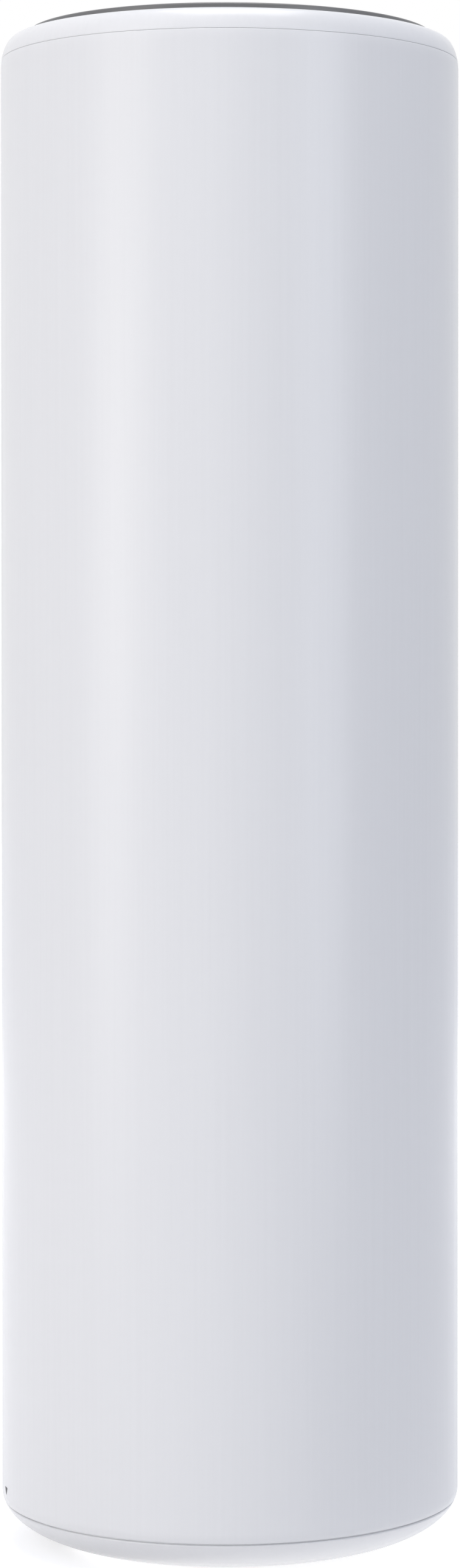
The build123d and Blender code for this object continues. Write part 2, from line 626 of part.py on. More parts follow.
def make_motor_mount():
    """Bearing tube with the flange that hangs the motor under the motor plate."""
    bottom, top = mount_bottom_z, mount_top_z
    tube = ring(bearing_tube_radius, bearing_radius, bottom, top)
    shoulder = ring(bearing_tube_radius, bearing_stop_radius, bottom + bearing_height, top - bearing_height)
    flange = ring(mount_radius, bearing_radius, top - mount_plate, top)
    hole = upright(motor_screw_circle, 0, motor_screw[0] + 2 * pilot_play, 0, beyond)
    return tube + shoulder + flange - around(hole, motor_screw_count) - motor_lead_hole()


def make_motor_bearings():
    one = ring(bearing_radius, shaft_radius + bearing_play, 0, bearing_height)
    return [Pos(0, 0, z) * one for z in (mount_bottom_z, mount_top_z - bearing_height)]


def make_motor_dampers():
    """Rubber bushes that hold the motor flange off the motor plate."""
    low, high = motor_plate_z, motor_plate_z + motor_plate
    bush = lathe(
        (bush_bore_radius, mount_top_z), (bush_radius, mount_top_z), (bush_radius, low),
        (bush_neck_radius, low), (bush_neck_radius, high), (bush_radius, high),
        (bush_radius, high + bush_flange), (bush_bore_radius, high + bush_flange),
    )
    return around(Pos(motor_screw_circle, 0, 0) * bush, motor_screw_count)


def make_motor_screws():
    head_z = motor_plate_z + motor_plate + bush_flange
    return around(Pos(motor_screw_circle, 0, head_z) * screw(*motor_screw), motor_screw_count)


# ---- top ----------------------------------------------------------------
def make_outlet_grille():
    """Dark top: rim, curved fins and the hub that holds the control panel."""
    rim = ring(rim_radius, rim_bore_radius, grille_seat_z, overall_height)
    rim = chamfer(rim.edges().group_by(Axis.Z)[-1], rim_chamfer)
    hub = ring(column_radius, column_bore_radius, hub_bottom_z, fin_top_z)
    ledge = ring(column_radius - 1, column_bore_radius - ledge_width, ledge_z - 2, ledge_z)
    fin = curved_plate(column_radius - 1, rim_bore_radius + 2, fin_sweep, fin_bulge, fin_thickness)
    fins = sum_of(around(Pos(0, 0, fin_bottom_z) * extrude(fin, fin_top_z - fin_bottom_z), fin_count))
    return rim + hub + ledge + (fins & ring(rim_bore_radius + 1, column_radius - 1, 0, beyond))


def button_places():
    """Name, radius and plan position of every button."""
    places = [("power_button", power_button_radius, (0.0, 0.0))]
    for name, bearing in button_bearings.items():
        turn = math.radians(bearing)
        place = (button_circle * math.cos(turn), button_circle * math.sin(turn))
        places.append((name, side_button_radius, place))
    return places


def make_control_panel():
    """Round panel with a rim that stands on the ledge of the hub and posts for its board."""
    panel = drum(panel_radius, panel_underside_z, panel_top_z)
    panel = chamfer(panel.edges().group_by(Axis.Z)[-1], panel_chamfer)
    panel += ring(panel_radius, panel_radius - 2, ledge_z, panel_underside_z)
    post = upright(post_circle, 0, post_radius, control_board_z + board_thickness, panel_underside_z + 0.5)
    pilot = upright(post_circle, 0, post_bore_radius, 0, panel_underside_z - 1)
    panel = panel + around(post, post_count, post_turn) - around(pilot, post_count, post_turn)
    holes = [upright(*place, radius + button_play, 0, beyond) for _, radius, place in button_places()]
    return panel - holes


def make_board_screws():
    one = Pos(post_circle, 0, control_board_z) * Rot(180, 0, 0) * screw(*board_screw)
    return around(one, post_count, post_turn)


def make_button(radius, place):
    """Cap with a flange under the panel and a stem above its switch."""
    low = panel_underside_z - button_flange
    cap = chamfer(drum(radius, low, panel_top_z + button_travel).edges().group_by(Axis.Z)[-1], edge_chamfer)
    flange = drum(radius + button_flange_reach, low, panel_underside_z)
    stem = drum(button_stem_radius, panel_underside_z - button_stem_reach, low)
    return Pos(*place, 0) * (cap + flange + stem)


def make_light_ring():
    outer = column_bore_radius - light_ring_play
    return ring(outer, outer - light_ring_width, ledge_z, panel_top_z - 2 * light_ring_play)


def make_control_board():
    board = drum(control_board_radius, control_board_z, control_board_z + board_thickness)
    hole = upright(post_circle, 0, post_bore_radius + 2 * pilot_play, 0, beyond)
    return board - around(hole, post_count, post_turn)


def make_button_switches():
    foot = control_board_z + board_thickness
    top = foot + switch_height
    one = Pos(0, 0, foot) * Box(switch_size, switch_size, switch_height, align=UP)
    one += drum(plunger_radius, top, top + plunger_height)
    return [Pos(*place, 0) * one for _, _, place in button_places()]


# ---- electrics ----------------------------------------------------------
def make_power_board():
    board = Box(2 * power_board_half_width, board_thickness, power_board_height, align=UP)
    return Pos(0, power_board_y, power_board_bottom_z) * board


def make_power_components():
    """Lead connectors, fuse, mains filter, transformer and storage capacitor."""
    front = (Align.CENTER, Align.MAX, Align.MIN)
    back = (Align.CENTER, Align.MIN, Align.MIN)
    sensor_lead_end = Vector(sensor_lead_x, 0, 0).rotate(Axis.Z, sensor_turn)
    parts = [
        Pos(mains_lead_x, power_board_front, lead_drop_z - mains_connector[2])
        * Box(*mains_connector, align=front),
        Pos(motor_lead_x, power_board_front, motor_lead_top_z) * Box(*motor_connector, align=front),
        Pos(panel_lead_x, power_board_front, panel_lead_bottom_z - panel_connector[2])
        * Box(*panel_connector, align=front),
        Pos(sensor_lead_end.X, power_board_back, lead_drop_z - sensor_connector[2])
        * Box(*sensor_connector, align=back),
    ]
    for x, height, size in board_parts.values():
        parts.append(Pos(x, power_board_front, power_board_bottom_z + height) * Box(*size, align=front))
    foot = power_board_bottom_z + capacitor_foot
    capacitor = upright(capacitor_x, power_board_front - capacitor_radius, capacitor_radius, foot,
                        foot + capacitor_height)
    return parts + [capacitor]


def make_power_inlet():
    """Two-pin mains socket set in the rear of the shell."""
    inwards = (Align.CENTER, Align.MAX, Align.CENTER)
    body = Pos(0, inlet_face_y, inlet_z) * Box(inlet_width, inlet_depth, inlet_height, align=inwards)
    flange = Box(inlet_width + 2 * inlet_flange_reach, inlet_flange_depth,
                 inlet_height + 2 * inlet_flange_reach, align=inwards)
    mouth = Plane(origin=(0, inlet_face_y, inlet_z), x_dir=(-1, 0, 0), z_dir=(0, 1, 0))
    cavity = extrude(mouth * SlotOverall(socket_width, socket_height), -socket_depth)
    return body + (Pos(0, body_radius, inlet_z) * flange & drum(shell_bore_radius, 0, beyond)) - cavity


def make_inlet_pins():
    pin = Rot(-90, 0, 0) * Cylinder(pin_radius, pin_length, align=UP)
    pin = chamfer(pin.edges().group_by(Axis.Y)[-1], edge_chamfer)
    floor_y = inlet_face_y - socket_depth
    return [Pos(side * pin_spacing / 2, floor_y, inlet_z) * pin for side in (-1, 1)]


def make_mains_lead():
    """Lead from the socket round the foot of the shell, up past the fan and in through a strut."""
    run_in = lead_bend + 2
    circle = math.sqrt(lead_circle ** 2 - run_in ** 2)
    start = math.degrees(math.acos(inlet_width / 2 / circle))
    finish = math.degrees(math.asin(run_in / lead_circle))
    around_foot = CenterArc((0, 0, inlet_z), circle, start, finish - start)
    climb = routed(around_foot @ 1, (lead_circle, 0, inlet_z), (lead_circle, 0, strut_z),
                   (mains_lead_x, 0, strut_z), (mains_lead_x, 0, lead_drop_z))
    return cord([around_foot] + climb, lead_radius) - make_power_inlet()


def make_sensor_lead():
    climb = routed((lead_circle, 0, sensor_bottom_z + sensor_height), (lead_circle, 0, strut_z),
                   (sensor_lead_x, 0, strut_z), (sensor_lead_x, 0, lead_drop_z))
    return Rot(0, 0, sensor_turn) * cord(climb, thin_lead_radius)


def make_motor_lead():
    return upright(motor_lead_x, 0, thin_lead_radius, motor_board_z + board_thickness, motor_lead_top_z)


def make_panel_lead():
    """Flat ribbon from the control board down to the power board."""
    ribbon = Box(panel_lead_width, panel_lead_thickness, control_board_z - panel_lead_bottom_z, align=UP)
    return Pos(panel_lead_x, panel_lead_y, panel_lead_bottom_z) * ribbon


def make_particle_sensor():
    """Sensor with a round sniffing port, facing the intake slots."""
    block = Box(sensor_depth, sensor_width, sensor_height, align=OUT_UP)
    block = Pos(sensor_outer_x - sensor_depth, 0, sensor_bottom_z) * block
    port = Rot(0, 90, 0) * Cylinder(port_radius, port_depth + 1, align=UP)
    port = Pos(sensor_outer_x - port_depth, port_y, sensor_bottom_z + port_height) * port
    return Rot(0, 0, sensor_turn) * (block - port)


def make_sensor_bracket():
    """Shelf with two cheeks on the inside of the shell, which holds the sensor."""
    inner_x = sensor_outer_x - sensor_depth
    tray = Box(body_radius - inner_x, sensor_width + 2 * bracket_wall, bracket_height, align=OUT_UP)
    hollow = Box(body_radius, sensor_width, bracket_height, align=OUT_UP)
    tray = Pos(inner_x, 0, sensor_bottom_z - bracket_wall) * tray
    hollow = Pos(inner_x - 1, 0, sensor_bottom_z) * hollow
    return Rot(0, 0, sensor_turn) * (tray - hollow) & drum(shell_bore_radius, 0, beyond)


def save(name, shape):
    """Write one node, with grouped solids kept apart."""
    if isinstance(shape, list):
        shape = Compound(children=[Solid(s.solid().wrapped) for s in shape])
    shape.label = name
    export_step(shape, f"parts/{name}.step")


os.makedirs("parts", exist_ok=True)

save("base_cover", make_base_cover())
save("foot_ring", make_foot_ring())
save("base_plate", make_base_plate())
save("base_magnets", around(magnet_bar(), magnet_count, magnet_turn))
save("base_screws", make_base_screws())

save("filter_media", make_filter_media())
save("carbon_core", make_carbon_core())
save("prefilter_sleeve", make_prefilter_sleeve())
save("filter_bottom_cap", make_filter_bottom_cap())
save("filter_top_cap", make_filter_top_cap())
save("filter_gasket", ring(gasket_outer_radius, gasket_inner_radius, filter_top_z, deck_z))

save("outer_shell", make_outer_shell())
save("lower_frame", make_lower_frame())
save("striker_plates", around(striker_plate(), magnet_count, magnet_turn))
save("top_ring", make_top_ring())

save("fan_deck", make_fan_deck())
save("deck_seal", ring(shell_bore_radius, deck_radius, deck_z - 1, deck_z + deck_plate + 1))
save("fan_guard", make_fan_guard())
save("fan_housing", make_fan_housing())
save("air_duct", make_air_duct())
save("electronics_housing", make_electronics_housing())
save("deck_screws", flange_screws(deck_z, head_up=False))
save("duct_screws", flange_screws(stator_top_z + flange_height, head_up=True))
save("top_screws", flange_screws(duct_top_z - flange_height, head_up=False))

save("impeller", make_impeller())
save("motor_rotor", make_motor_rotor())
save("rotor_magnet", make_rotor_magnet())
save("motor_shaft", drum(shaft_radius, rotor_bottom_z - 4, motor_plate_z + 4))
save("motor_stator", make_motor_stator())
save("motor_windings", make_motor_windings())
save("motor_board", make_motor_board())
save("motor_mount", make_motor_mount())
save("motor_bearings", make_motor_bearings())
save("motor_dampers", make_motor_dampers())
save("motor_screws", make_motor_screws())

save("outlet_grille", make_outlet_grille())
save("control_panel", make_control_panel())
save("light_ring", make_light_ring())
save("control_board", make_control_board())
save("board_screws", make_board_screws())
save("button_switches", make_button_switches())
for button_name, button_radius, button_place in button_places():
    save(button_name, make_button(button_radius, button_place))

save("power_board", make_power_board())
save("power_components", make_power_components())
save("power_inlet", make_power_inlet())
save("inlet_pins", make_inlet_pins())
save("mains_lead", make_mains_lead())
save("sensor_lead", make_sensor_lead())
save("motor_lead", make_motor_lead())
save("panel_lead", make_panel_lead())
save("particle_sensor", make_particle_sensor())
save("sensor_bracket", make_sensor_bracket())
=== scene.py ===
"""Tower air purifier: finished surfaces, light and camera around its mechanical model.

Each operator makes one piece or one group of pieces, from the sizes and colours in the scene's
property groups and from the boxes of the mechanical model's parts. Lengths are metres, Z is up, the
front faces -Y and the origin is on the floor under the middle.
"""

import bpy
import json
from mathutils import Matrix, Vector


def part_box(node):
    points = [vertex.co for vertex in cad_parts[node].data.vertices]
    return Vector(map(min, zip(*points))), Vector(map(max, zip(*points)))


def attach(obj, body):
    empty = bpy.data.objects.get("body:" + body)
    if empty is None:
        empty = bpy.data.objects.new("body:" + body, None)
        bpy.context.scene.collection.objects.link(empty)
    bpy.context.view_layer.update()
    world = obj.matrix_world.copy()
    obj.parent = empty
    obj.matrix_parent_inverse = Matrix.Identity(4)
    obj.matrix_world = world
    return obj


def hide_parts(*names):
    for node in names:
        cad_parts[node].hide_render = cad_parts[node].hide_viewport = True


bl_info = {
    "name": "Tower air purifier",
    "version": (1, 0, 0),
    "blender": (4, 5, 0),
    "location": "3D View > Sidebar > Purifier",
    "description": "Shell, base, outlet grille, filter and finishes of an upright air purifier",
    "category": "Object",
}

import json
import math
from collections import namedtuple

import bmesh
import bpy
from bpy.props import FloatProperty, FloatVectorProperty, IntProperty, PointerProperty
from bpy.types import Operator, Panel, PropertyGroup
from mathutils import Vector

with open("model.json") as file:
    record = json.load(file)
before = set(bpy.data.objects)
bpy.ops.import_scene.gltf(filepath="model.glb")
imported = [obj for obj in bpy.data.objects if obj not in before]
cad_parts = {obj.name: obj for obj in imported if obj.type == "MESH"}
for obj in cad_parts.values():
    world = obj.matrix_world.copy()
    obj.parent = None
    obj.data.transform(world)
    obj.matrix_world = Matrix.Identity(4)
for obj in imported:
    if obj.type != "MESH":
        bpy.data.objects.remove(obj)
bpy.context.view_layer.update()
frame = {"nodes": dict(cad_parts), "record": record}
NODES = frame["nodes"]
MM = 0.001
FULL_TURN = 2 * math.pi
QUARTER = math.pi / 2
BODY_STEPS = 240  # sides of the large round pieces


def low(node):
    """Lowest corner of a CAD node's box."""
    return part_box(node)[0]


def high(node):
    """Highest corner of a CAD node's box."""
    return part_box(node)[1]


# ---- sizes and colours ------------------------------------------------------

def length(label, about, default):
    """Setting for a length in metres."""
    return FloatProperty(name=label, description=about, default=default, min=0.0, precision=5,
                         subtype="DISTANCE", unit="LENGTH")


def colour(label, about, default):
    """Setting for a colour in linear light."""
    return FloatVectorProperty(name=label, description=about, default=default, size=3, min=0.0, max=1.0,
                               subtype="COLOR")


def power(label, about, default):
    """Setting for a lamp's power in watts."""
    return FloatProperty(name=label, description=about, default=default, min=0.0,
                         subtype="POWER", unit="POWER")


def share(label, about, default, top=1.0):
    """Setting for a plain factor."""
    return FloatProperty(name=label, description=about, default=default, min=0.0, max=top, subtype="FACTOR")


class BodySettings(PropertyGroup):
    """Sizes of the white outer form."""
    radius: length("Radius", "Outside radius of the cylinder", 105 * MM)
    bore: length("Bore", "Inside radius of the shell", 102.5 * MM)
    low_flat: length("Base flat", "Radius of the flat under the base", 63.7 * MM)
    low_start: length("Base height", "Height of the flat under the base", 1.5 * MM)
    low_rise: length("Base rounding", "Height of the rounding at the foot of the body", 21.7 * MM)
    top_rise: length("Shoulder rounding", "Height of the rounding at the top of the body", 14 * MM)
    top_in: length("Shoulder depth", "How far the shoulder runs inwards", 6.4 * MM)
    top: length("Shoulder height", "Height of the shoulder's top", 686.8 * MM)
    edge: length("Edge rounding", "Rounding along the shell's moulded edges", 0.2 * MM)
    cover_edge: length("Base edge rounding", "Rounding along the base's upper edge", 0.6 * MM)
    cover_wall: length("Base wall", "Thickness of the base's wall", 3 * MM)
    tongue_in: length("Tongue inset", "How far the base's tongue stands in from its outside", 1.1 * MM)
    tongue_rise: length("Tongue height", "How far the tongue stands above the base's upper edge", 0.6 * MM)
    mark_turn: FloatProperty(name="Mark bearing", description="Direction of the alignment mark from +X",
                             default=math.radians(194), subtype="ANGLE")
    mark_width: length("Mark width", "Width of the alignment mark", 5.2 * MM)
    mark_height: length("Mark height", "Height of the alignment mark", 3.6 * MM)
    mark_tip: length("Mark tip", "Height of the alignment mark's lower tip", 23.6 * MM)


class IntakeSettings(PropertyGroup):
    """Sizes of the intake slots at the rear."""
    columns: IntProperty(name="Columns", description="Slots in each row", default=29, min=1)
    rows: IntProperty(name="Rows", description="Rows of slots", default=3, min=1)
    pitch: FloatProperty(name="Pitch", description="Angle from slot to slot", default=math.radians(4.8),
                         subtype="ANGLE")
    width: length("Slot width", "Width of a slot", 3.6 * MM)
    height: length("Slot height", "Height of a slot", 84 * MM)
    gap: length("Row gap", "Gap between two rows", 10 * MM)
    bottom: length("Bottom", "Height of the lowest slots' lower ends", 62 * MM)
    window_width: length("Socket window width", "Width of the window round the mains socket", 26.4 * MM)
    window_height: length("Socket window height", "Height of the window round the mains socket", 16.4 * MM)
    window_z: length("Socket height", "Height of the mains socket's middle", 44 * MM)


class OutletSettings(PropertyGroup):
    """Sizes of the dark outlet grille."""
    fins: IntProperty(name="Fins", description="Number of curved fins", default=60, min=3)
    fin_thickness: length("Fin thickness", "Thickness of a fin", 1.6 * MM)
    fin_sweep: FloatProperty(name="Fin sweep", description="How far a fin turns from hub to rim",
                             default=math.radians(16), subtype="ANGLE")
    rim_radius: length("Rim radius", "Outside radius of the rim", 93.2 * MM)
    rim_bore: length("Rim bore", "Inside radius of the rim", 88.5 * MM)
    rim_round: length("Rim rounding", "Rounding along the rim's upper edges", 1.0 * MM)
    rim_gap: length("Rim gap", "Gap between the rim and the shoulder ring", 0.4 * MM)
    rim_seat: length("Rim seat", "Height of the ledge that the rim stands on", 676 * MM)
    fin_foot: length("Fin foot", "Height of the fins' lower edges", 678 * MM)
    fin_top: length("Fin top", "Height of the fins' upper edges and of the hub", 688.4 * MM)
    hub_radius: length("Hub radius", "Outside radius of the hub", 55.5 * MM)
    hub_wall: length("Hub wall", "Thickness of the hub's wall", 2.5 * MM)
    ledge_z: length("Panel ledge", "Height of the ledge under the control panel", 683 * MM)
    ledge_width: length("Ledge width", "Width of the ledge under the control panel", 6.5 * MM)
    icon_line: length("Icon line", "Line width of the button icons", 0.8 * MM)


class FilterSettings(PropertyGroup):
    """Sizes of the round filter."""
    pleats: IntProperty(name="Pleats", description="Number of folds in the paper", default=110, min=3)
    paper: length("Paper", "Thickness of the pleated paper", 0.6 * MM)
    net_columns: IntProperty(name="Net uprights", description="Upright strands of the outer net",
                             default=120, min=3)
    net_rows: IntProperty(name="Net rings", description="Rings of the outer net", default=72, min=2)
    strand: length("Strand", "Thickness of the net's strands", 0.7 * MM)


class ColourSettings(PropertyGroup):
    """Colours of the finishes, in linear light."""
    white: colour("White", "White shell plastic", (0.80, 0.806, 0.822))
    dark: colour("Dark grey", "Outlet grille plastic", (0.125, 0.127, 0.131))
    black: colour("Black", "Control panel and socket", (0.018, 0.018, 0.02))
    button: colour("Buttons", "Button caps", (0.05, 0.052, 0.056))
    icon: colour("Icons", "Icons on the buttons", (0.75, 0.77, 0.78))
    inner: colour("Inner grey", "Moulded plastic inside the body", (0.27, 0.285, 0.31))
    fan: colour("Fan", "Impeller plastic", (0.028, 0.03, 0.033))
    rubber: colour("Rubber", "Foot and bushes", (0.022, 0.022, 0.023))
    paper: colour("Paper", "Pleated filter paper", (0.80, 0.80, 0.76))
    net: colour("Net", "Outer net of the filter", (0.42, 0.47, 0.52))
    cap: colour("Filter caps", "Blue-grey caps of the filter", (0.10, 0.20, 0.33))
    board: colour("Circuit board", "Solder mask", (0.006, 0.075, 0.028))
    copper: colour("Copper", "Enamelled wire", (0.52, 0.16, 0.05))
    steel: colour("Steel", "Zinc-plated steel", (0.52, 0.53, 0.54))
    lead: colour("Leads", "Insulation of the inner leads", (0.30, 0.30, 0.31))


class StageSettings(PropertyGroup):
    """Light, floor and camera."""
    key: power("Key light", "Power of the tall light at the left front, with the soft highlight", 6.1)
    key_colour: colour("Key colour", "Colour of the key light", (1.0, 0.937, 0.833))
    left: power("Left light", "Power of the light at the left", 19.9)
    left_colour: colour("Left colour", "Colour of the light at the left", (1.0, 0.972, 0.931))
    front: power("Front light", "Power of the light in front", 5.9)
    front_colour: colour("Front colour", "Colour of the front light", (1.0, 0.962, 0.866))
    right: power("Right light", "Power of the light at the right front", 11.9)
    right_colour: colour("Right colour", "Colour of the light at the right", (0.921, 0.953, 1.0))
    top: power("Top light", "Power of the light overhead", 18.5)
    top_colour: colour("Top colour", "Colour of the light overhead", (1.0, 0.988, 0.967))
    back: power("Back light", "Power of the light straight behind", 16.0)
    back_colour: colour("Back colour", "Colour of the back light", (1.0, 0.98, 0.95))
    low: power("Low light", "Power of the round light that lies under the base", 0.041)
    low_colour: colour("Low colour", "Colour of the low light", (1.0, 0.984, 0.96))
    room: share("Room light", "Strength of the even light from all round", 0.463, top=4.0)
    room_colour: colour("Room colour", "Colour of the even light", (0.826, 0.862, 1.0))
    floor: colour("Floor", "Pale floor", (0.70, 0.70, 0.71))
    floor_glow: share("Floor glow", "White that the camera and reflections add to the floor "
                      "near the object", 0.6)
    far_glow: share("Far glow", "White that the camera and reflections add to the floor far away", 0.78)
    near_reach: length("Near reach", "Distance at which the floor's glow starts to rise", 0.6)
    far_reach: length("Far reach", "Distance from which the floor has its full far glow", 1.6)
    lens: FloatProperty(name="Lens", description="Focal length", default=87.664, min=1.0,
                        subtype="DISTANCE_CAMERA", unit="CAMERA")
    camera_distance: length("Camera distance", "From the cylinder's middle to the camera", 1.75952)
    camera_height: length("Camera height", "Height of the camera", 0.41191)
    camera_tilt: FloatProperty(name="Camera tilt", description="How far the camera looks down",
                               default=math.radians(0.7458), subtype="ANGLE")
    camera_yaw: FloatProperty(name="Camera turn", description="How far the camera looks to the right",
                              default=math.radians(1.43), subtype="ANGLE")
    camera_shift: FloatVectorProperty(name="Camera shift", default=(-0.06089, -0.05967), size=2,
                                      description="Sideways and upward shift of the view")


SETTING_GROUPS = (
    ("purifier_body", BodySettings),
    ("purifier_intake", IntakeSettings),
    ("purifier_outlet", OutletSettings),
    ("purifier_filter", FilterSettings),
    ("purifier_colours", ColourSettings),
    ("purifier_stage", StageSettings),
)


# ---- node graphs ------------------------------------------------------------

class Socket:
    """One output of a node, which can be added, multiplied and so on."""

    def __init__(self, graph, socket):
        self.graph = graph
        self.socket = socket

    def combine(self, operation, first, second):
        return self.graph.add("ShaderNodeMath", {"operation": operation}, {0: first, 1: second})

    def __add__(self, other):
        return self.combine("ADD", self, other)

    def __radd__(self, other):
        return self.combine("ADD", other, self)

    def __sub__(self, other):
        return self.combine("SUBTRACT", self, other)

    def __rsub__(self, other):
        return self.combine("SUBTRACT", other, self)

    def __mul__(self, other):
        return self.combine("MULTIPLY", self, other)

    def __rmul__(self, other):
        return self.combine("MULTIPLY", other, self)

    def __truediv__(self, other):
        return self.combine("DIVIDE", self, other)

    def __pow__(self, other):
        return self.combine("POWER", self, other)

    def maximum(self, other):
        return self.combine("MAXIMUM", self, other)


class Graph:
    """A shader or geometry node tree under construction."""

    def __init__(self, tree):
        self.tree = tree

    def node(self, kind, settings=None, values=None):
        """Add one node: its settings first, then the values or links of its sockets."""
        node = self.tree.nodes.new(kind)
        for key, value in (settings or {}).items():
            setattr(node, key, value)
        for key, value in (values or {}).items():
            if isinstance(value, Socket):
                self.tree.links.new(value.socket, node.inputs[key])
            else:
                node.inputs[key].default_value = value
        return node

    def add(self, kind, settings=None, values=None, output=0):
        """Add one node and return one of its outputs."""
        return Socket(self, self.node(kind, settings, values).outputs[output])

    def mix(self, factor, first, second):
        """Blend two colours, which the node takes at its sockets 6 and 7."""
        values = {0: factor, 6: rgba(first), 7: rgba(second)}
        return self.add("ShaderNodeMix", {"data_type": "RGBA"}, values, output=2)


def rgba(shade):
    """A colour with full alpha, or a link as it is."""
    return shade if isinstance(shade, Socket) else (*shade, 1.0)


def scaled(shade, amount, lift=0.0):
    """A colour made darker or paler."""
    return tuple(part * amount + lift for part in shade)


class Finish(Graph):
    """A material whose pattern sits on object coordinates."""

    def __init__(self, name):
        self.material = bpy.data.materials.new(name)
        self.material.use_nodes = True
        super().__init__(self.material.node_tree)
        self.tree.nodes.clear()
        self.place = self.add("ShaderNodeTexCoord", output="Object")

    def noise(self, size, detail=2.0, stretch=(1, 1, 1)):
        """Cloudy pattern with spots of about one size in metres."""
        place = self.add("ShaderNodeVectorMath", {"operation": "MULTIPLY"}, {0: self.place, 1: stretch})
        values = {"Vector": place, "Scale": 1 / size, "Detail": detail}
        return self.add("ShaderNodeTexNoise", None, values, "Fac")

    def grains(self, size):
        """Cells of about one size in metres."""
        values = {"Vector": self.place, "Scale": 1 / size}
        return self.add("ShaderNodeTexVoronoi", None, values, "Distance")

    def ridges(self, size):
        """Even level ridges, one above the other, of one size in metres."""
        settings = {"wave_type": "BANDS", "bands_direction": "Z"}
        scale = FULL_TURN / 20 / size  # the node multiplies its place by 20
        return self.add("ShaderNodeTexWave", settings, {"Vector": self.place, "Scale": scale})

    def bump(self, height, depth):
        """Relief from a height pattern, with its depth in metres."""
        return self.add("ShaderNodeBump", None, {"Height": height, "Distance": depth, "Strength": 1.0})

    def surface(self, **values):
        """Close the material with a principled shader and return it."""
        shader = self.add("ShaderNodeBsdfPrincipled", None, {key.replace("_", " "): value
                                                              for key, value in values.items()})
        self.node("ShaderNodeOutputMaterial", None, {"Surface": shader})
        return self.material


def moulded(name, shade, roughness, grain=0.5 * MM, depth=0.012 * MM, mottle=0.03, gloss=0.5):
    """Moulded plastic: fine spark-eroded grain, faint flow marks and slightly uneven gloss."""
    f = Finish(name)
    flow = f.noise(60 * MM, 3.0)
    fine = f.noise(grain, 4.0)
    uneven = roughness - 0.04 + 0.16 * flow * fine  # about the given roughness, as both are about 0.5
    return f.surface(Base_Color=f.mix(flow, scaled(shade, 1 - mottle), shade), Roughness=uneven,
                     Normal=f.bump(fine, depth), Specular_IOR_Level=gloss)


def satin_white(shade):
    """White shell plastic: even satin gloss with fine upright lines and a faint grain."""
    f = Finish("satin_white")
    lines = f.noise(1.6 * MM, 2.0, (1, 1, 0.01))
    return f.surface(Base_Color=f.mix(lines, scaled(shade, 0.97), shade), Roughness=0.23 + 0.04 * lines,
                     Normal=f.bump(f.noise(0.5 * MM, 4.0), 0.012 * MM))


def rubber(name, shade):
    """Matt rubber with a dusty bloom."""
    f = Finish(name)
    bloom = f.noise(9 * MM, 5.0)
    dusty = scaled(shade, 1.9, 0.01)
    return f.surface(Base_Color=f.mix(bloom, shade, dusty), Roughness=0.72 + 0.16 * bloom,
                     Normal=f.bump(f.noise(0.4 * MM, 3.0), 0.03 * MM))


def metal(name, shade, roughness, stretch=(1, 1, 12)):
    """Plated metal with fine drawn lines."""
    f = Finish(name)
    lines = f.noise(4 * MM, 5.0, stretch)
    worn = f.noise(14 * MM, 3.0)
    return f.surface(Base_Color=f.mix(worn, scaled(shade, 0.78), shade), Metallic=1.0,
                     Roughness=roughness + 0.15 * lines, Normal=f.bump(lines, 0.008 * MM))


def paper(name, shade):
    """Fibrous filter paper."""
    f = Finish(name)
    fibres = f.noise(0.9 * MM, 6.0, (1, 1, 0.3))
    cloud = f.noise(25 * MM, 2.0)
    tone = f.mix(fibres * cloud * 2, scaled(shade, 0.93), shade)
    return f.surface(Base_Color=tone, Roughness=0.86 + 0.08 * fibres, Normal=f.bump(fibres, 0.05 * MM))


def granular(name):
    """Black carbon granules held in a thin mesh."""
    f = Finish(name)
    cell = f.grains(1.6 * MM)
    # the near-black gap colour darkens each granule towards its edge: painted shade in the hollows between
    # granules
    middle, gap = (0.035, 0.035, 0.037), (0.006, 0.006, 0.007)
    return f.surface(Base_Color=f.mix(cell, middle, gap), Roughness=0.55 + 0.4 * cell,
                     Normal=f.bump(1 - cell, 0.5 * MM))


def foam(name, shade):
    """Closed-cell foam."""
    f = Finish(name)
    cell = f.grains(0.7 * MM)
    return f.surface(Base_Color=f.mix(cell, shade, scaled(shade, 0.6)), Roughness=0.85 + 0.1 * cell,
                     Normal=f.bump(cell, 0.15 * MM))


def circuit(name, shade):
    """Solder mask over copper tracks, with bright pads."""
    f = Finish(name)
    track = f.add("ShaderNodeTexBrick", {"offset": 0.5, "squash": 1.0},
                  {"Vector": f.place, "Scale": 160.0, "Mortar Size": 0.03}, "Fac")
    spot = f.add("ShaderNodeMapRange", None, {"Value": f.grains(4 * MM), "From Min": 0.10,
                                              "From Max": 0.16, "To Min": 1.0, "To Max": 0.0})
    lines = f.mix(track, shade, scaled(shade, 1.8, 0.01))
    tin = (0.62, 0.60, 0.55)
    return f.surface(Base_Color=f.mix(spot, lines, tin), Metallic=spot * 0.9,
                     Roughness=0.30 + 0.1 * track, Normal=f.bump(track + spot, 0.04 * MM))


def wound(name, shade):
    """Enamelled wire laid in neat turns."""
    f = Finish(name)
    turn = f.ridges(0.6 * MM)
    # the colour drops to a third in the low grooves between turns: painted shade that follows the relief
    return f.surface(Base_Color=f.mix(turn, scaled(shade, 0.35), shade), Metallic=0.85,
                     Roughness=0.32 + 0.2 * (1 - turn), Normal=f.bump(turn, 0.2 * MM))


def laminated(name, shade):
    """Stack of thin steel sheets."""
    f = Finish(name)
    sheet = f.ridges(0.5 * MM)
    # the colour drops to under half in the low grooves between sheets: painted shade that follows the
    # relief
    return f.surface(Base_Color=f.mix(sheet, scaled(shade, 0.45), shade), Metallic=0.9,
                     Roughness=0.45 + 0.15 * (1 - sheet), Normal=f.bump(sheet, 0.08 * MM))


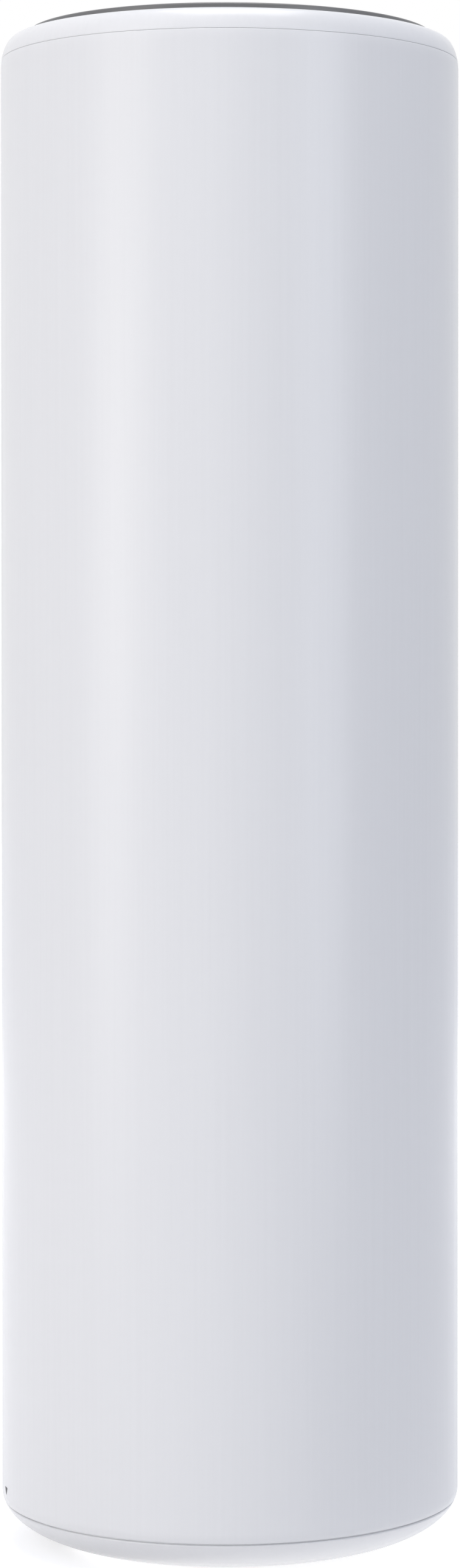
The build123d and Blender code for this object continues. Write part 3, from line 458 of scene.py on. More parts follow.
def milky(name):
    """Milky light guide."""
    f = Finish(name)
    cloud = f.noise(6 * MM, 3.0)
    return f.surface(Base_Color=f.mix(cloud, (0.72, 0.78, 0.80), (0.82, 0.86, 0.87)),
                     Roughness=0.24 + 0.08 * cloud, Normal=f.bump(cloud, 0.01 * MM),
                     Subsurface_Weight=0.2, Subsurface_Radius=(0.002, 0.002, 0.002))


def make_finishes(c):
    """Every finish by the name of its material slot."""
    return {
        "shell_white": satin_white(c.white),
        "top_grey": moulded("satin_dark_grey", c.dark, 0.36, mottle=0.10, gloss=0.8),
        "panel_black": moulded("satin_black", c.black, 0.36, 0.8 * MM, 0.004 * MM, 0.2, gloss=0.3),
        "button_grey": moulded("satin_button", c.button, 0.36, mottle=0.08),
        "light_guide": milky("milky_guide"),
        "inner_plastic": moulded("inner_grey", c.inner, 0.50, 0.6 * MM, 0.02 * MM, 0.08),
        "fan_plastic": moulded("fan_grey", c.fan, 0.45, 0.6 * MM, 0.015 * MM, 0.12),
        "foot_rubber": rubber("foot_rubber", c.rubber),
        "filter_paper": paper("filter_paper", c.paper),
        "filter_mesh": moulded("net_plastic", c.net, 0.55, 0.4 * MM, 0.02 * MM, 0.10),
        "carbon": granular("carbon_granules"),
        "cap_plastic": moulded("filter_cap", c.cap, 0.55, 0.7 * MM, 0.03 * MM, 0.10),
        "foam": foam("closed_foam", (0.06, 0.06, 0.063)),
        "steel": metal("zinc_steel", c.steel, 0.30),
        "magnet": metal("nickel", (0.60, 0.58, 0.54), 0.16, (1, 1, 1)),
        "copper": wound("enamelled_copper", c.copper),
        "board_green": circuit("circuit_board", c.board),
        "component": moulded("component_black", c.black, 0.48, 0.4 * MM, 0.02 * MM, 0.25),
        "lead_sheath": moulded("lead_insulation", c.lead, 0.52, 1.2 * MM, 0.02 * MM, 0.08),
        "laminations": laminated("laminations", c.steel),
        "icon_print": moulded("icon_print", c.icon, 0.50, 0.3 * MM, 0.005 * MM, 0.05),
        "mark_print": moulded("mark_print", (0.030, 0.031, 0.034), 0.50, 0.3 * MM, 0.005 * MM, 0.10),
    }


FINISHES = {}  # by slot, filled by the finishes operator


# ---- meshes -----------------------------------------------------------------

def spread(first, last, steps):
    """Evenly spaced values with both ends."""
    return [first + (last - first) * i / steps for i in range(steps + 1)]


def band(bm, first, second):
    """Add the faces between two closed loops with the same number of points."""
    pairs = list(zip(first, second))
    return [bm.faces.new((a, c, d, b)) for (a, b), (c, d) in zip(pairs, pairs[1:] + pairs[:1])]


def lathe(profile, steps):
    """Ring of faces turned from a closed outline of (radius, height) points."""
    bm = bmesh.new()
    rows = []
    for k in range(steps):
        turn = FULL_TURN * k / steps
        rows.append([bm.verts.new((r * math.cos(turn), r * math.sin(turn), z)) for r, z in profile])
    for row, other in zip(rows, rows[1:] + rows[:1]):
        band(bm, other, row)
    return bm


def prism(bm, outline, bottom, top):
    """Add an upright bar with a flat outline of (x, y) points, which may have hollows."""
    floor = [bm.verts.new((x, y, bottom)) for x, y in outline]
    roof = [bm.verts.new((x, y, top)) for x, y in outline]
    band(bm, floor, roof)
    bm.faces.new(floor[::-1])
    bm.faces.new(roof)


def arc(centre, radius, start, end, steps):
    """Points along an arc, angles in degrees."""
    turns = [math.radians(angle) for angle in spread(start, end, steps)]
    return [(centre[0] + radius * math.cos(turn), centre[1] + radius * math.sin(turn)) for turn in turns]


def rounded(points, radius, corners, steps=5):
    """Outline with some of its corners, given by their places in the list, rounded."""
    outline = []
    for i, point in enumerate(points):
        if i not in corners:
            outline.append(point)
            continue
        here = Vector(point)
        before = (Vector(points[i - 1]) - here).normalized() * radius
        after = (Vector(points[(i + 1) % len(points)]) - here).normalized() * radius
        for k in range(steps + 1):
            t = k / steps
            blend = here + before * (1 - t) ** 2 + after * t ** 2
            outline.append((blend.x, blend.y))
    return outline


def to_object(name, bm, keep_faces=False):
    """Put a mesh into the scene as an object at the origin.

    Unless its faces are kept as they are, it is welded and its faces are turned outwards.
    """
    if not keep_faces:
        bmesh.ops.remove_doubles(bm, verts=bm.verts, dist=1e-6)
        bare = [edge for edge in bm.edges if not edge.link_faces]
        bmesh.ops.delete(bm, geom=bare, context="EDGES")
        bmesh.ops.recalc_face_normals(bm, faces=bm.faces)
    mesh = bpy.data.meshes.new(name)
    bm.to_mesh(mesh)
    bm.free()
    piece = bpy.data.objects.new(name, mesh)
    bpy.context.scene.collection.objects.link(piece)
    return piece


def smooth(piece, angle=38.0):
    """Smooth shading, with an edge kept sharp where its faces meet at more than an angle in degrees."""
    piece.data.shade_smooth()
    piece.data.set_sharp_from_angle(angle=math.radians(angle))
    return piece


def finish_piece(piece, slot, body, *nodes):
    """Give a piece its finish, tie it to its body and hide the nodes it stands for.

    Prints aren't in the record, where they count as components.
    """
    piece.data.materials.clear()
    piece.data.materials.append(FINISHES[slot])
    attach(piece, body)
    if nodes:
        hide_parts(*nodes)
    return piece


# ---- geometry node trees ----------------------------------------------------

def new_tree(name, inputs):
    """Start a geometry node tree, and return its graph and its named inputs as sockets."""
    tree = bpy.data.node_groups.new(name, "GeometryNodeTree")
    tree.interface.new_socket("Geometry", in_out="INPUT", socket_type="NodeSocketGeometry")
    for label, kind in inputs:
        tree.interface.new_socket(label, in_out="INPUT", socket_type="NodeSocket" + kind)
    tree.interface.new_socket("Geometry", in_out="OUTPUT", socket_type="NodeSocketGeometry")
    graph = Graph(tree)
    entry = tree.nodes.new("NodeGroupInput")
    return graph, {socket.name: Socket(graph, socket) for socket in entry.outputs if socket.name}


def close_tree(graph, geometry, material):
    """Realize, weld and finish a tree's result."""
    real = graph.add("GeometryNodeRealizeInstances", None, {0: geometry})
    welded = graph.add("GeometryNodeMergeByDistance", None, {"Geometry": real, "Distance": 1e-6})
    shaded = graph.add("GeometryNodeSetMaterial", None, {"Geometry": welded, "Material": material})
    graph.node("NodeGroupOutput", None, {0: shaded})
    return graph.tree


def copies_tree():
    """Copies of one piece, each turned about Z and raised by even steps."""
    graph, inputs = new_tree("even_copies", [("Count", "Int"), ("Turn", "Float"), ("Start", "Float"),
                                             ("Rise", "Float"), ("Material", "Material")])
    points = graph.add("GeometryNodePoints", None, {"Count": inputs["Count"]})
    index = graph.add("GeometryNodeInputIndex")
    place = graph.add("ShaderNodeCombineXYZ", None, {"Z": index * inputs["Rise"]})
    points = graph.add("GeometryNodeSetPosition", None, {"Geometry": points, "Position": place})
    turn = graph.add("FunctionNodeAxisAngleToRotation", None,
                     {"Axis": (0, 0, 1), "Angle": index * inputs["Turn"] + inputs["Start"]})
    copies = graph.add("GeometryNodeInstanceOnPoints", None,
                       {"Points": points, "Instance": inputs["Geometry"], "Rotation": turn})
    return close_tree(graph, copies, inputs["Material"])


def shell_tree():
    """Slot cells repeated over the rear, joined to the plain wall and bent into the body's round form.

    The flat wall has angle along X, depth from 0 outside to 1 inside along Y, and height along Z.
    """
    labels = ["Radius", "Bore", "Base Flat", "Base Top", "Base Rise", "Shoulder Depth", "Shoulder Foot",
              "Shoulder Rise", "Pitch", "Row Step"]
    graph, inputs = new_tree("slotted_shell", [(label, "Float") for label in labels] +
                             [("Columns", "Int"), ("Rows", "Int"), ("Material", "Material")])
    flag = graph.add("GeometryNodeInputNamedAttribute", {"data_type": "BOOLEAN"}, {"Name": "slot_cell"})
    parts = graph.node("GeometryNodeSeparateGeometry", {"domain": "FACE"},
                       {"Geometry": inputs["Geometry"], "Selection": flag})
    cell, wall = Socket(graph, parts.outputs[0]), Socket(graph, parts.outputs[1])
    points = graph.add("GeometryNodePoints", None, {"Count": inputs["Columns"] * inputs["Rows"]})
    index = graph.add("GeometryNodeInputIndex")
    column = index.combine("MODULO", index, inputs["Columns"])
    whole = index / inputs["Columns"] + 1e-4  # a little over, so that no row is rounded down
    row = graph.add("ShaderNodeMath", {"operation": "FLOOR"}, {0: whole})
    place = graph.add("ShaderNodeCombineXYZ", None,
                      {"X": (column - (inputs["Columns"] - 1) / 2) * inputs["Pitch"],
                       "Z": row * inputs["Row Step"]})
    points = graph.add("GeometryNodeSetPosition", None, {"Geometry": points, "Position": place})
    cells = graph.add("GeometryNodeInstanceOnPoints", None, {"Points": points, "Instance": cell})
    cells = graph.add("GeometryNodeRealizeInstances", None, {0: cells})
    join = graph.tree.nodes.new("GeometryNodeJoinGeometry")
    for geometry in (cells, wall):
        graph.tree.links.new(geometry.socket, join.inputs[0])
    flat = graph.node("ShaderNodeSeparateXYZ", None, {0: graph.add("GeometryNodeInputPosition")})
    angle, depth, height = (Socket(graph, flat.outputs[i]) for i in range(3))
    under = ((inputs["Base Top"] - height) / inputs["Base Rise"]).maximum(0)
    over = ((height - inputs["Shoulder Foot"]) / inputs["Shoulder Rise"]).maximum(0)
    foot = (inputs["Radius"] - inputs["Base Flat"]) * (1 - (1 - under * under) ** 0.5)
    shoulder = inputs["Shoulder Depth"] * (1 - (1 - over * over) ** 0.5)
    outside = inputs["Radius"] - foot - shoulder
    radius = outside + (inputs["Bore"] - outside) * depth
    across = graph.add("ShaderNodeMath", {"operation": "SINE"}, {0: angle})
    along = graph.add("ShaderNodeMath", {"operation": "COSINE"}, {0: angle})
    bent = graph.add("ShaderNodeCombineXYZ", None,
                     {"X": 0 - radius * across, "Y": radius * along, "Z": height})
    shell = graph.add("GeometryNodeSetPosition", None,
                      {"Geometry": Socket(graph, join.outputs[0]), "Position": bent})
    return close_tree(graph, shell, inputs["Material"])


def grow(piece, tree, values):
    """Run a tree on a piece and leave its result as the piece's plain mesh."""
    modifier = piece.modifiers.new("grow", "NODES")
    modifier.node_group = tree
    sockets = {item.name: item.identifier for item in tree.interface.items_tree
               if item.item_type == "SOCKET" and item.in_out == "INPUT"}
    for label, value in values.items():
        modifier[sockets[label]] = value
    piece.update_tag()
    bpy.context.view_layer.update()
    result = piece.evaluated_get(bpy.context.evaluated_depsgraph_get())
    mesh = bpy.data.meshes.new_from_object(result)
    piece.modifiers.remove(modifier)
    old = piece.data
    piece.data = mesh
    mesh.name = piece.name
    bpy.data.meshes.remove(old)
    return piece


def turned(piece, tree, slot, count, turn, start=0.0, rise=0.0):
    """Even copies of a piece in one mesh."""
    return grow(piece, tree, {"Count": count, "Turn": turn, "Start": start, "Rise": rise,
                              "Material": FINISHES[slot]})


def face_outwards(piece):
    """Turn every face of a closed mesh outwards."""
    bm = bmesh.new()
    bm.from_mesh(piece.data)
    bmesh.ops.recalc_face_normals(bm, faces=bm.faces)
    bm.to_mesh(piece.data)
    bm.free()
    return piece


# ---- operators --------------------------------------------------------------

# One row for each soft lamp: its name, shape, place, the point that it faces, its width and height,
# and whether reflections show it. Its power and colour are the stage's settings of the same name.
LAMPS = (
    ("key", "RECTANGLE", (-1.79, -1.45, 1.15), (0, 0, 0.45), (1.1, 1.7), True),
    ("left", "RECTANGLE", (-2.0, -1.15, 0.25), (0, 0, 0.3), (0.9, 1.2), False),
    ("front", "RECTANGLE", (-0.4, -2.27, 0.6), (0, 0, 0.35), (0.9, 2.4), False),
    ("right", "RECTANGLE", (1.65, -1.6, 0.5), (0, 0, 0.35), (1.0, 2.4), True),
    ("top", "RECTANGLE", (0.05, -0.35, 2.35), (0, 0, 0.35), (1.2, 1.2), True),
    ("back", "RECTANGLE", (0.0, 2.1, 0.85), (0, 0, 0.35), (0.8, 1.6), False),
    ("low", "ELLIPSE", (0.025, -0.01, 0.001), (0.025, -0.01, 1.0), (0.2, 0.2), False),
)


class PURIFIER_OT_stage(Operator):
    """Make the pale floor, the soft lights, the room light and the camera"""
    bl_idname = "purifier.stage"
    bl_label = "Stage"

    def execute(self, context):
        s = context.scene.purifier_stage
        self.floor(s)
        self.room(context.scene, s)
        for lamp in LAMPS:
            self.light(context.scene, s, *lamp)
        self.camera(context.scene, s)
        context.scene.view_settings.view_transform = "Standard"
        return {"FINISHED"}

    def floor(self, s):
        """Wide pale floor that turns white with distance and keeps the object's shadow."""
        bm = bmesh.new()
        bmesh.ops.create_grid(bm, x_segments=8, y_segments=8, size=6.0)
        piece = to_object("floor", bm)
        f = Finish("pale_floor")
        cloud = f.noise(0.35, 3.0)
        shade = f.mix(cloud, scaled(s.floor, 0.99), s.floor)
        paint = f.add("ShaderNodeBsdfDiffuse", None, {"Color": shade})
        away = f.add("ShaderNodeVectorMath", {"operation": "LENGTH"}, {0: f.place}, output="Value")
        far = f.add("ShaderNodeMapRange", {"interpolation_type": "SMOOTHSTEP"},
                    {"Value": away, "From Min": s.near_reach, "From Max": s.far_reach})
        white = f.mix(far, (s.floor_glow,) * 3, (s.far_glow,) * 3)
        glow = f.add("ShaderNodeEmission", None, {"Color": white})
        rays = f.node("ShaderNodeLightPath")
        seen = Socket(f, rays.outputs["Is Camera Ray"]).maximum(Socket(f, rays.outputs["Is Glossy Ray"]))
        both = f.add("ShaderNodeAddShader", None, {0: paint, 1: glow})
        f.node("ShaderNodeOutputMaterial", None,
               {"Surface": f.add("ShaderNodeMixShader", None, {0: seen, 1: paint, 2: both})})
        piece.data.materials.append(f.material)

    def room(self, scene, s):
        """Even light from all round, which shows as plain white."""
        world = bpy.data.worlds.new("room")
        world.use_nodes = True
        graph = Graph(world.node_tree)
        graph.tree.nodes.clear()
        rays = graph.node("ShaderNodeLightPath")
        seen = [Socket(graph, rays.outputs[name]) for name in
                ("Is Camera Ray", "Is Glossy Ray", "Is Transmission Ray")]
        bright = seen[0].maximum(seen[1]).maximum(seen[2])
        soft = graph.add("ShaderNodeBackground", None, {"Color": rgba(s.room_colour), "Strength": s.room})
        white = graph.add("ShaderNodeBackground", None, {"Color": (1, 1, 1, 1), "Strength": 1.0})
        graph.node("ShaderNodeOutputWorld", None,
                   {"Surface": graph.add("ShaderNodeMixShader", None, {0: bright, 1: soft, 2: white})})
        scene.world = world

    def light(self, scene, s, name, shape, place, aim, size, mirrored):
        """Soft lamp that the camera doesn't see."""
        data = bpy.data.lights.new(name + "_light", "AREA")
        data.shape = shape
        data.size, data.size_y = size
        data.energy, data.color = getattr(s, name), getattr(s, name + "_colour")
        lamp = bpy.data.objects.new(name + "_light", data)
        lamp.location = place
        lamp.rotation_euler = (Vector(aim) - Vector(place)).to_track_quat("-Z", "Y").to_euler()
        lamp.visible_camera = False
        lamp.visible_glossy = mirrored
        scene.collection.objects.link(lamp)

    def camera(self, scene, s):
        """Long lens in front, a little above the middle."""
        data = bpy.data.cameras.new("camera")
        data.lens = s.lens
        data.sensor_width = 36.0
        data.shift_x, data.shift_y = s.camera_shift
        camera = bpy.data.objects.new("camera", data)
        camera.location = (0, -s.camera_distance, s.camera_height)
        camera.rotation_euler = (QUARTER - s.camera_tilt, 0, -s.camera_yaw)
        scene.collection.objects.link(camera)
        scene.camera = camera


class PURIFIER_OT_finishes(Operator):
    """Make every finish and give each carried-over part the one of its material slot"""
    bl_idname = "purifier.finishes"
    bl_label = "Finishes"

    def execute(self, context):
        FINISHES.update(make_finishes(context.scene.purifier_colours))
        special = {"motor_stator": "laminations"}  # its slot is plain steel
        for entry in frame["record"]["subparts"]:
            node, slot = entry["node"], entry["material_slot"]
            mesh = NODES[node].data
            mesh.materials.clear()
            mesh.materials.append(FINISHES[special.get(node, slot)])
        return {"FINISHED"}


# Rounded hole: its size, its corner radius, and the steps round a corner and along each side.
Hole = namedtuple("Hole", "width height corner corner_steps across up")


class PURIFIER_OT_outer_shell(Operator):
    """Make the smooth white tube with its rows of intake slots"""
    bl_idname = "purifier.outer_shell"
    bl_label = "Outer shell"

    steps_per_cell = 4
    half_window = 7  # steps of wall on each side of the socket window's middle
    window_levels = 2  # steps up the band with that window
    curve_levels = 5  # steps up the curve at either end
    plain_levels = 14  # steps up the plain band over the slots

    def execute(self, context):
        b, n = context.scene.purifier_body, context.scene.purifier_intake
        piece = self.flat_wall(b, n)
        grow(piece, shell_tree(), {
            "Radius": b.radius, "Bore": b.bore, "Base Flat": b.low_flat,
            "Base Top": b.low_start + b.low_rise, "Base Rise": b.low_rise, "Shoulder Depth": b.top_in,
            "Shoulder Foot": b.top - b.top_rise, "Shoulder Rise": b.top_rise, "Pitch": n.pitch,
            "Row Step": n.height + n.gap, "Columns": n.columns, "Rows": n.rows,
            "Material": FINISHES["shell_white"]})
        face_outwards(piece)
        smooth(piece)
        self.even_normals(piece, b)
        finish_piece(piece, "shell_white", "tower", "outer_shell")
        return {"FINISHED"}

    def profile(self, b, bands, bottom, top):
        """The wall's cross-section in depth and height, rounded at the outer edge of either end.

        Each band has the height of its top and its number of steps.
        """
        edge, wall = b.edge, b.radius - b.bore
        heights = [bottom + edge]
        for end, steps in bands:
            heights += spread(heights[-1], end, steps)[1:]
        round_top = [(edge / wall * (1 - math.cos(turn)), top - edge * (1 - math.sin(turn)))
                     for turn in spread(0.0, QUARTER, 4)[1:]]
        round_low = [(depth, bottom + top - z) for depth, z in reversed(round_top)]
        inner = [(1.0, z) for z in [bottom] + heights[1:-1] + [top]]
        return [(0.0, z) for z in heights] + round_top + inner[::-1] + round_low

    def flat_wall(self, b, n):
        """The wall before bending: plain bands, one slot cell and the plate round the socket window."""
        bottom, top = low("outer_shell").z, high("outer_shell").z
        low_end, high_start = b.low_start + b.low_rise, b.top - b.top_rise
        cells_low = n.bottom - n.gap / 2
        row_step = n.height + n.gap
        cells_high = cells_low + n.rows * row_step
        bands = [(low_end, self.curve_levels), (cells_low, self.window_levels),
                 (cells_high, n.rows * self.steps_per_cell), (high_start, self.plain_levels),
                 (top - b.edge, self.curve_levels)]
        profile = self.profile(b, bands, bottom, top)
        step = n.pitch / self.steps_per_cell
        count = round(FULL_TURN / step)
        half_cells = n.columns * self.steps_per_cell // 2
        half_window = self.half_window
        bm = bmesh.new()
        flag = bm.faces.layers.bool.new("slot_cell")
        rows = [[bm.verts.new(((k - count / 2) * step, depth, z)) for depth, z in profile]
                for k in range(count + 1)]
        for k in range(count):
            from_middle = abs(k + 0.5 - count / 2)
            for i, (depth, z) in enumerate(profile):
                j = (i + 1) % len(profile)
                mid = (z + profile[j][1]) / 2
                skin = depth == profile[j][0] and depth in (0.0, 1.0)
                if skin and from_middle < half_cells and cells_low < mid < cells_high:
                    continue
                if skin and from_middle < half_window and low_end < mid < cells_low:
                    continue
                bm.faces.new((rows[k][i], rows[k + 1][i], rows[k + 1][j], rows[k][j]))
        half_cell = self.steps_per_cell / 2 * step
        slot = Hole(n.width, n.height, corner=n.width / 2, corner_steps=4, across=1, up=4)
        self.plate(bm, b, (-half_cell, half_cell, cells_low, cells_low + row_step),
                   (self.steps_per_cell, self.steps_per_cell), slot, cells_low + row_step / 2, flag)
        window = Hole(n.window_width, n.window_height, corner=0.6 * MM, corner_steps=2, across=12, up=2)
        self.plate(bm, b, (-half_window * step, half_window * step, low_end, cells_low),
                   (2 * half_window, self.window_levels), window, n.window_z, None)
        return to_object("outer_shell_skin", bm, keep_faces=True)

    def plate(self, bm, b, box, border_steps, hole, middle, flag):
        """A rectangle of wall with one rounded hole through it, its outer edge softened.

        The box and the hole's middle are in the flat wall's own measures, and each side of the box
        has its number of steps.
        """
        edge, wall = b.edge * 0.8, b.radius - b.bore
        rims = [(edge * (1 - math.sin(turn)), edge / wall * (1 - math.cos(turn)))
                for turn in spread(0.0, QUARTER, 3)] + [(0.0, 1.0)]
        rings = []
        for offset, depth in rims:
            points = hole_outline(hole, offset)
            rings.append([bm.verts.new((x / b.radius, depth, middle + z)) for x, z in points])
        faces = []
        for ring, other in zip(rings, rings[1:]):
            faces += band(bm, ring, other)
        for ring, depth in ((rings[0], 0.0), (rings[-1], 1.0)):
            border = [bm.verts.new((x, depth, z)) for x, z in border_points(box, border_steps)]
            pairs = [pair for loop in (ring, border) for pair in zip(loop, loop[1:] + loop[:1])]
            edges = [bm.edges.get(pair) or bm.edges.new(pair) for pair in pairs]
            made = bmesh.ops.triangle_fill(bm, edges=edges, use_beauty=True, normal=(0, 1, 0))
            faces += [item for item in made["geom"] if isinstance(item, bmesh.types.BMFace)]
        if flag is not None:
            for face in faces:
                face[flag] = True

    def even_normals(self, piece, b):
        """Keep the shading of the straight outer wall perfectly round beside the slots."""
        mesh = piece.data
        low_end, high_start = b.low_start + b.low_rise, b.top - b.top_rise
        normals = []
        for loop in mesh.loops:
            place = mesh.vertices[loop.vertex_index].co
            radius = math.hypot(place.x, place.y)
            outside = radius > b.radius - 1e-6 and low_end - 1e-6 < place.z < high_start + 1e-6
            round_wall = (place.x / radius, place.y / radius, 0.0)
            normals.append(round_wall if outside else (0.0, 0.0, 0.0))  # zero keeps the loop's own
        mesh.normals_split_custom_set(normals)


def border_points(box, steps):
    """Points round a rectangle, without repeats."""
    left, right, bottom, top = box
    across, up = steps
    points = [(x, bottom) for x in spread(left, right, across)[:-1]]
    points += [(right, z) for z in spread(bottom, top, up)[:-1]]
    points += [(x, top) for x in spread(right, left, across)[:-1]]
    points += [(left, z) for z in spread(top, bottom, up)[:-1]]
    return points


def hole_outline(hole, offset):
    """Rounded rectangle about its middle, grown by an offset, always with the same number of points."""
    x, z = hole.width / 2 - hole.corner, hole.height / 2 - hole.corner
    corners = [arc((cx, cz), hole.corner + offset, 90 * quarter, 90 * quarter + 90, hole.corner_steps)
               for quarter, (cx, cz) in enumerate(((x, z), (-x, z), (-x, -z), (x, -z)))]
    points = []
    for quarter, corner in enumerate(corners):
        points += corner
        start, end = corner[-1], corners[(quarter + 1) % 4][0]
        steps = hole.up if quarter % 2 else hole.across
        if math.dist(start, end) > 1e-9:
            points += list(zip(spread(start[0], end[0], steps), spread(start[1], end[1], steps)))[1:-1]
        else:
            points.pop()
    return points


def outer_curve(b, z):
    """Outside radius of the whole body at a height."""
    under = max(0.0, (b.low_start + b.low_rise - z) / b.low_rise)
    over = max(0.0, (z - b.top + b.top_rise) / b.top_rise)
    return (b.radius - (b.radius - b.low_flat) * (1 - math.sqrt(max(0.0, 1 - under * under)))
            - b.top_in * (1 - math.sqrt(max(0.0, 1 - over * over))))


class PURIFIER_OT_base_cover(Operator):
    """Make the rounded white bowl of the base with its ribs and screw bosses"""
    bl_idname = "purifier.base_cover"
    bl_label = "Base cover"

    def execute(self, context):
        b = context.scene.purifier_body
        top, edge, floor = high("base_cover").z, b.cover_edge, b.low_start + b.cover_wall
        foot_in, foot_out = 50 * MM, high("foot_ring").x
        play, groove_top = 0.2 * MM, high("foot_ring").z
        collar, collar_bore, collar_top = 14 * MM, 12 * MM, 16.5 * MM
        profile = [(foot_out + play, b.low_start)] + self.outside(b, top - edge) + self.rim(b, top)
        profile += self.inside(b, top, floor)
        profile += [(collar, floor), (collar, collar_top), (collar_bore, collar_top), (collar_bore, floor),
                    (0.0, floor), (0.0, b.low_start), (foot_in - play, b.low_start),
                    (foot_in - play, groove_top), (foot_out + play, groove_top)]
        piece = smooth(to_object("base_cover_skin", lathe(profile, BODY_STEPS)))
        finish_piece(piece, "shell_white", "base", "base_cover")
        copies, foot, seat = copies_tree(), floor - 0.5 * MM, low("base_plate").z
        self.ribs(copies, foot, seat)
        self.bosses(copies, foot, seat)
        return {"FINISHED"}

    def outside(self, b, top):
        """Outside of the bowl from its flat up to a height, evenly spaced round its curve."""
        centre = b.low_start + b.low_rise
        last = math.acos((centre - top) / b.low_rise)
        heights = [centre - b.low_rise * math.cos(turn) for turn in spread(0.0, last, 24)]
        return [(outer_curve(b, z), z) for z in heights]

    def rim(self, b, top):
        """Rounded upper edge and the tongue that stands inside the seam."""
        edge = b.cover_edge
        outer = outer_curve(b, top - edge)
        lip = [(outer - edge * (1 - math.cos(turn)), top - edge * (1 - math.sin(turn)))
               for turn in spread(0.0, QUARTER, 4)[1:]]
        tongue = outer - b.tongue_in
        back, crown, bevel = outer - b.cover_wall, top + b.tongue_rise, 0.1 * MM
        return lip + [(tongue, top), (tongue, crown - bevel), (tongue - bevel, crown), (back, crown)]

    def inside(self, b, top, floor):
        """Inside of the bowl from its upper edge down to its floor."""
        reach = b.radius - b.low_flat - b.cover_wall
        start = outer_curve(b, top - b.cover_edge) - b.cover_wall
        return [(start - reach * (1 - math.cos(turn)), top - (top - floor) * math.sin(turn))
                for turn in spread(0.0, QUARTER, 9)]

    def ribs(self, copies, foot, top):
        """Eight ribs from the collar to the rim, cut back where the bowl curves up."""
        half, start, bend, reach = 1 * MM, 13 * MM, 70 * MM, 94 * MM
        on_curve = (88 * MM, 7.5 * MM)
        outline = [(start, foot), (bend, foot), on_curve, (reach, top), (start, top)]
        bm = bmesh.new()
        near, far = ([bm.verts.new((x, y, z)) for x, z in outline] for y in (-half, half))
        bm.faces.new(near)
        bm.faces.new(far[::-1])
        band(bm, far, near)
        ribs = turned(to_object("base_ribs", bm), copies, "shell_white", 8, FULL_TURN / 8)
        finish_piece(smooth(ribs), "shell_white", "base")

    def bosses(self, copies, foot, top):
        """Four round screw bosses between the ribs."""
        place, outer, bore = (70 * MM, 0), 4 * MM, 1.35 * MM
        circles = [arc(place, radius, 0, 360, 20)[:-1] for radius in (outer, bore)]
        bm = bmesh.new()
        rings = [[bm.verts.new((x, y, z)) for x, y in circle] for circle in circles for z in (foot, top)]
        for first, second in ((0, 1), (1, 3), (3, 2), (2, 0)):
            band(bm, rings[first], rings[second])
        bosses = turned(to_object("base_bosses", bm), copies, "shell_white", 4, FULL_TURN / 4,
                        math.radians(22.5))
        finish_piece(smooth(bosses), "shell_white", "base")


class PURIFIER_OT_shoulder_ring(Operator):
    """Make the white rounded ring round the outlet"""
    bl_idname = "purifier.shoulder_ring"
    bl_label = "Shoulder ring"

    def execute(self, context):
        b, o = context.scene.purifier_body, context.scene.purifier_outlet
        gap, edge, lip, skirt = 0.1 * MM, 0.08 * MM, 0.3 * MM, 1.1 * MM
        bottom, top, floor = high("outer_shell").z + gap, b.top, low("top_ring").z
        bore, ledge, wall = o.rim_radius + o.rim_gap, o.rim_seat - 2.5 * MM, 3 * MM
        corner = outer_curve(b, bottom)
        outside = [(corner - edge, bottom), (corner - 0.3 * edge, bottom + 0.3 * edge)]
        rise = top - bottom - edge
        heights = [bottom + edge + rise * math.sin(turn) for turn in spread(0.0, QUARTER, 20)]
        outside += [(outer_curve(b, z), z) for z in heights]
        crown = [(bore + lip * (1 - math.sin(turn)), top - lip * (1 - math.cos(turn)))
                 for turn in spread(0.0, QUARTER, 3)]
        inside = [(bore, o.rim_seat), (bore - wall, o.rim_seat), (bore - wall, ledge), (bore, ledge),
                  (bore, floor + wall), (bore - skirt, floor + wall), (bore - skirt, floor),
                  (b.bore, floor), (b.bore, bottom)]
        piece = smooth(to_object("shoulder_ring_skin", lathe(outside + crown + inside, BODY_STEPS)))
        finish_piece(piece, "shell_white", "tower", "top_ring")
        return {"FINISHED"}


class PURIFIER_OT_alignment_mark(Operator):
    """Print the small dark arrow that lines the tower up with the base"""
    bl_idname = "purifier.alignment_mark"
    bl_label = "Alignment mark"

    def execute(self, context):
        b = context.scene.purifier_body
        half, top = b.mark_width / 2, b.mark_tip + b.mark_height
        outline = rounded([(0.0, b.mark_tip), (half, top), (-half, top)], 0.5 * MM, {0, 1, 2}, 4)
        middle_z, lifts = b.mark_tip + 0.62 * b.mark_height, (0.01 * MM, 0.05 * MM)
        bm = bmesh.new()
        layers = [[bm.verts.new(self.on_wall(b, x, z, lift)) for x, z in outline] for lift in lifts]
        middle = [bm.verts.new(self.on_wall(b, 0.0, middle_z, lift)) for lift in lifts]
        band(bm, *layers)
        for i in range(len(outline)):
            j = (i + 1) % len(outline)
            bm.faces.new((layers[1][i], layers[1][j], middle[1]))
            bm.faces.new((layers[0][j], layers[0][i], middle[0]))
        finish_piece(smooth(to_object("alignment_mark", bm)), "mark_print", "tower")
        return {"FINISHED"}

    def on_wall(self, b, across, z, lift):
        """Point on the outside of the body, at a distance along it from the mark's middle."""
        radius = outer_curve(b, z) + lift
        turn = b.mark_turn + across / b.radius
        return (radius * math.cos(turn), radius * math.sin(turn), z)


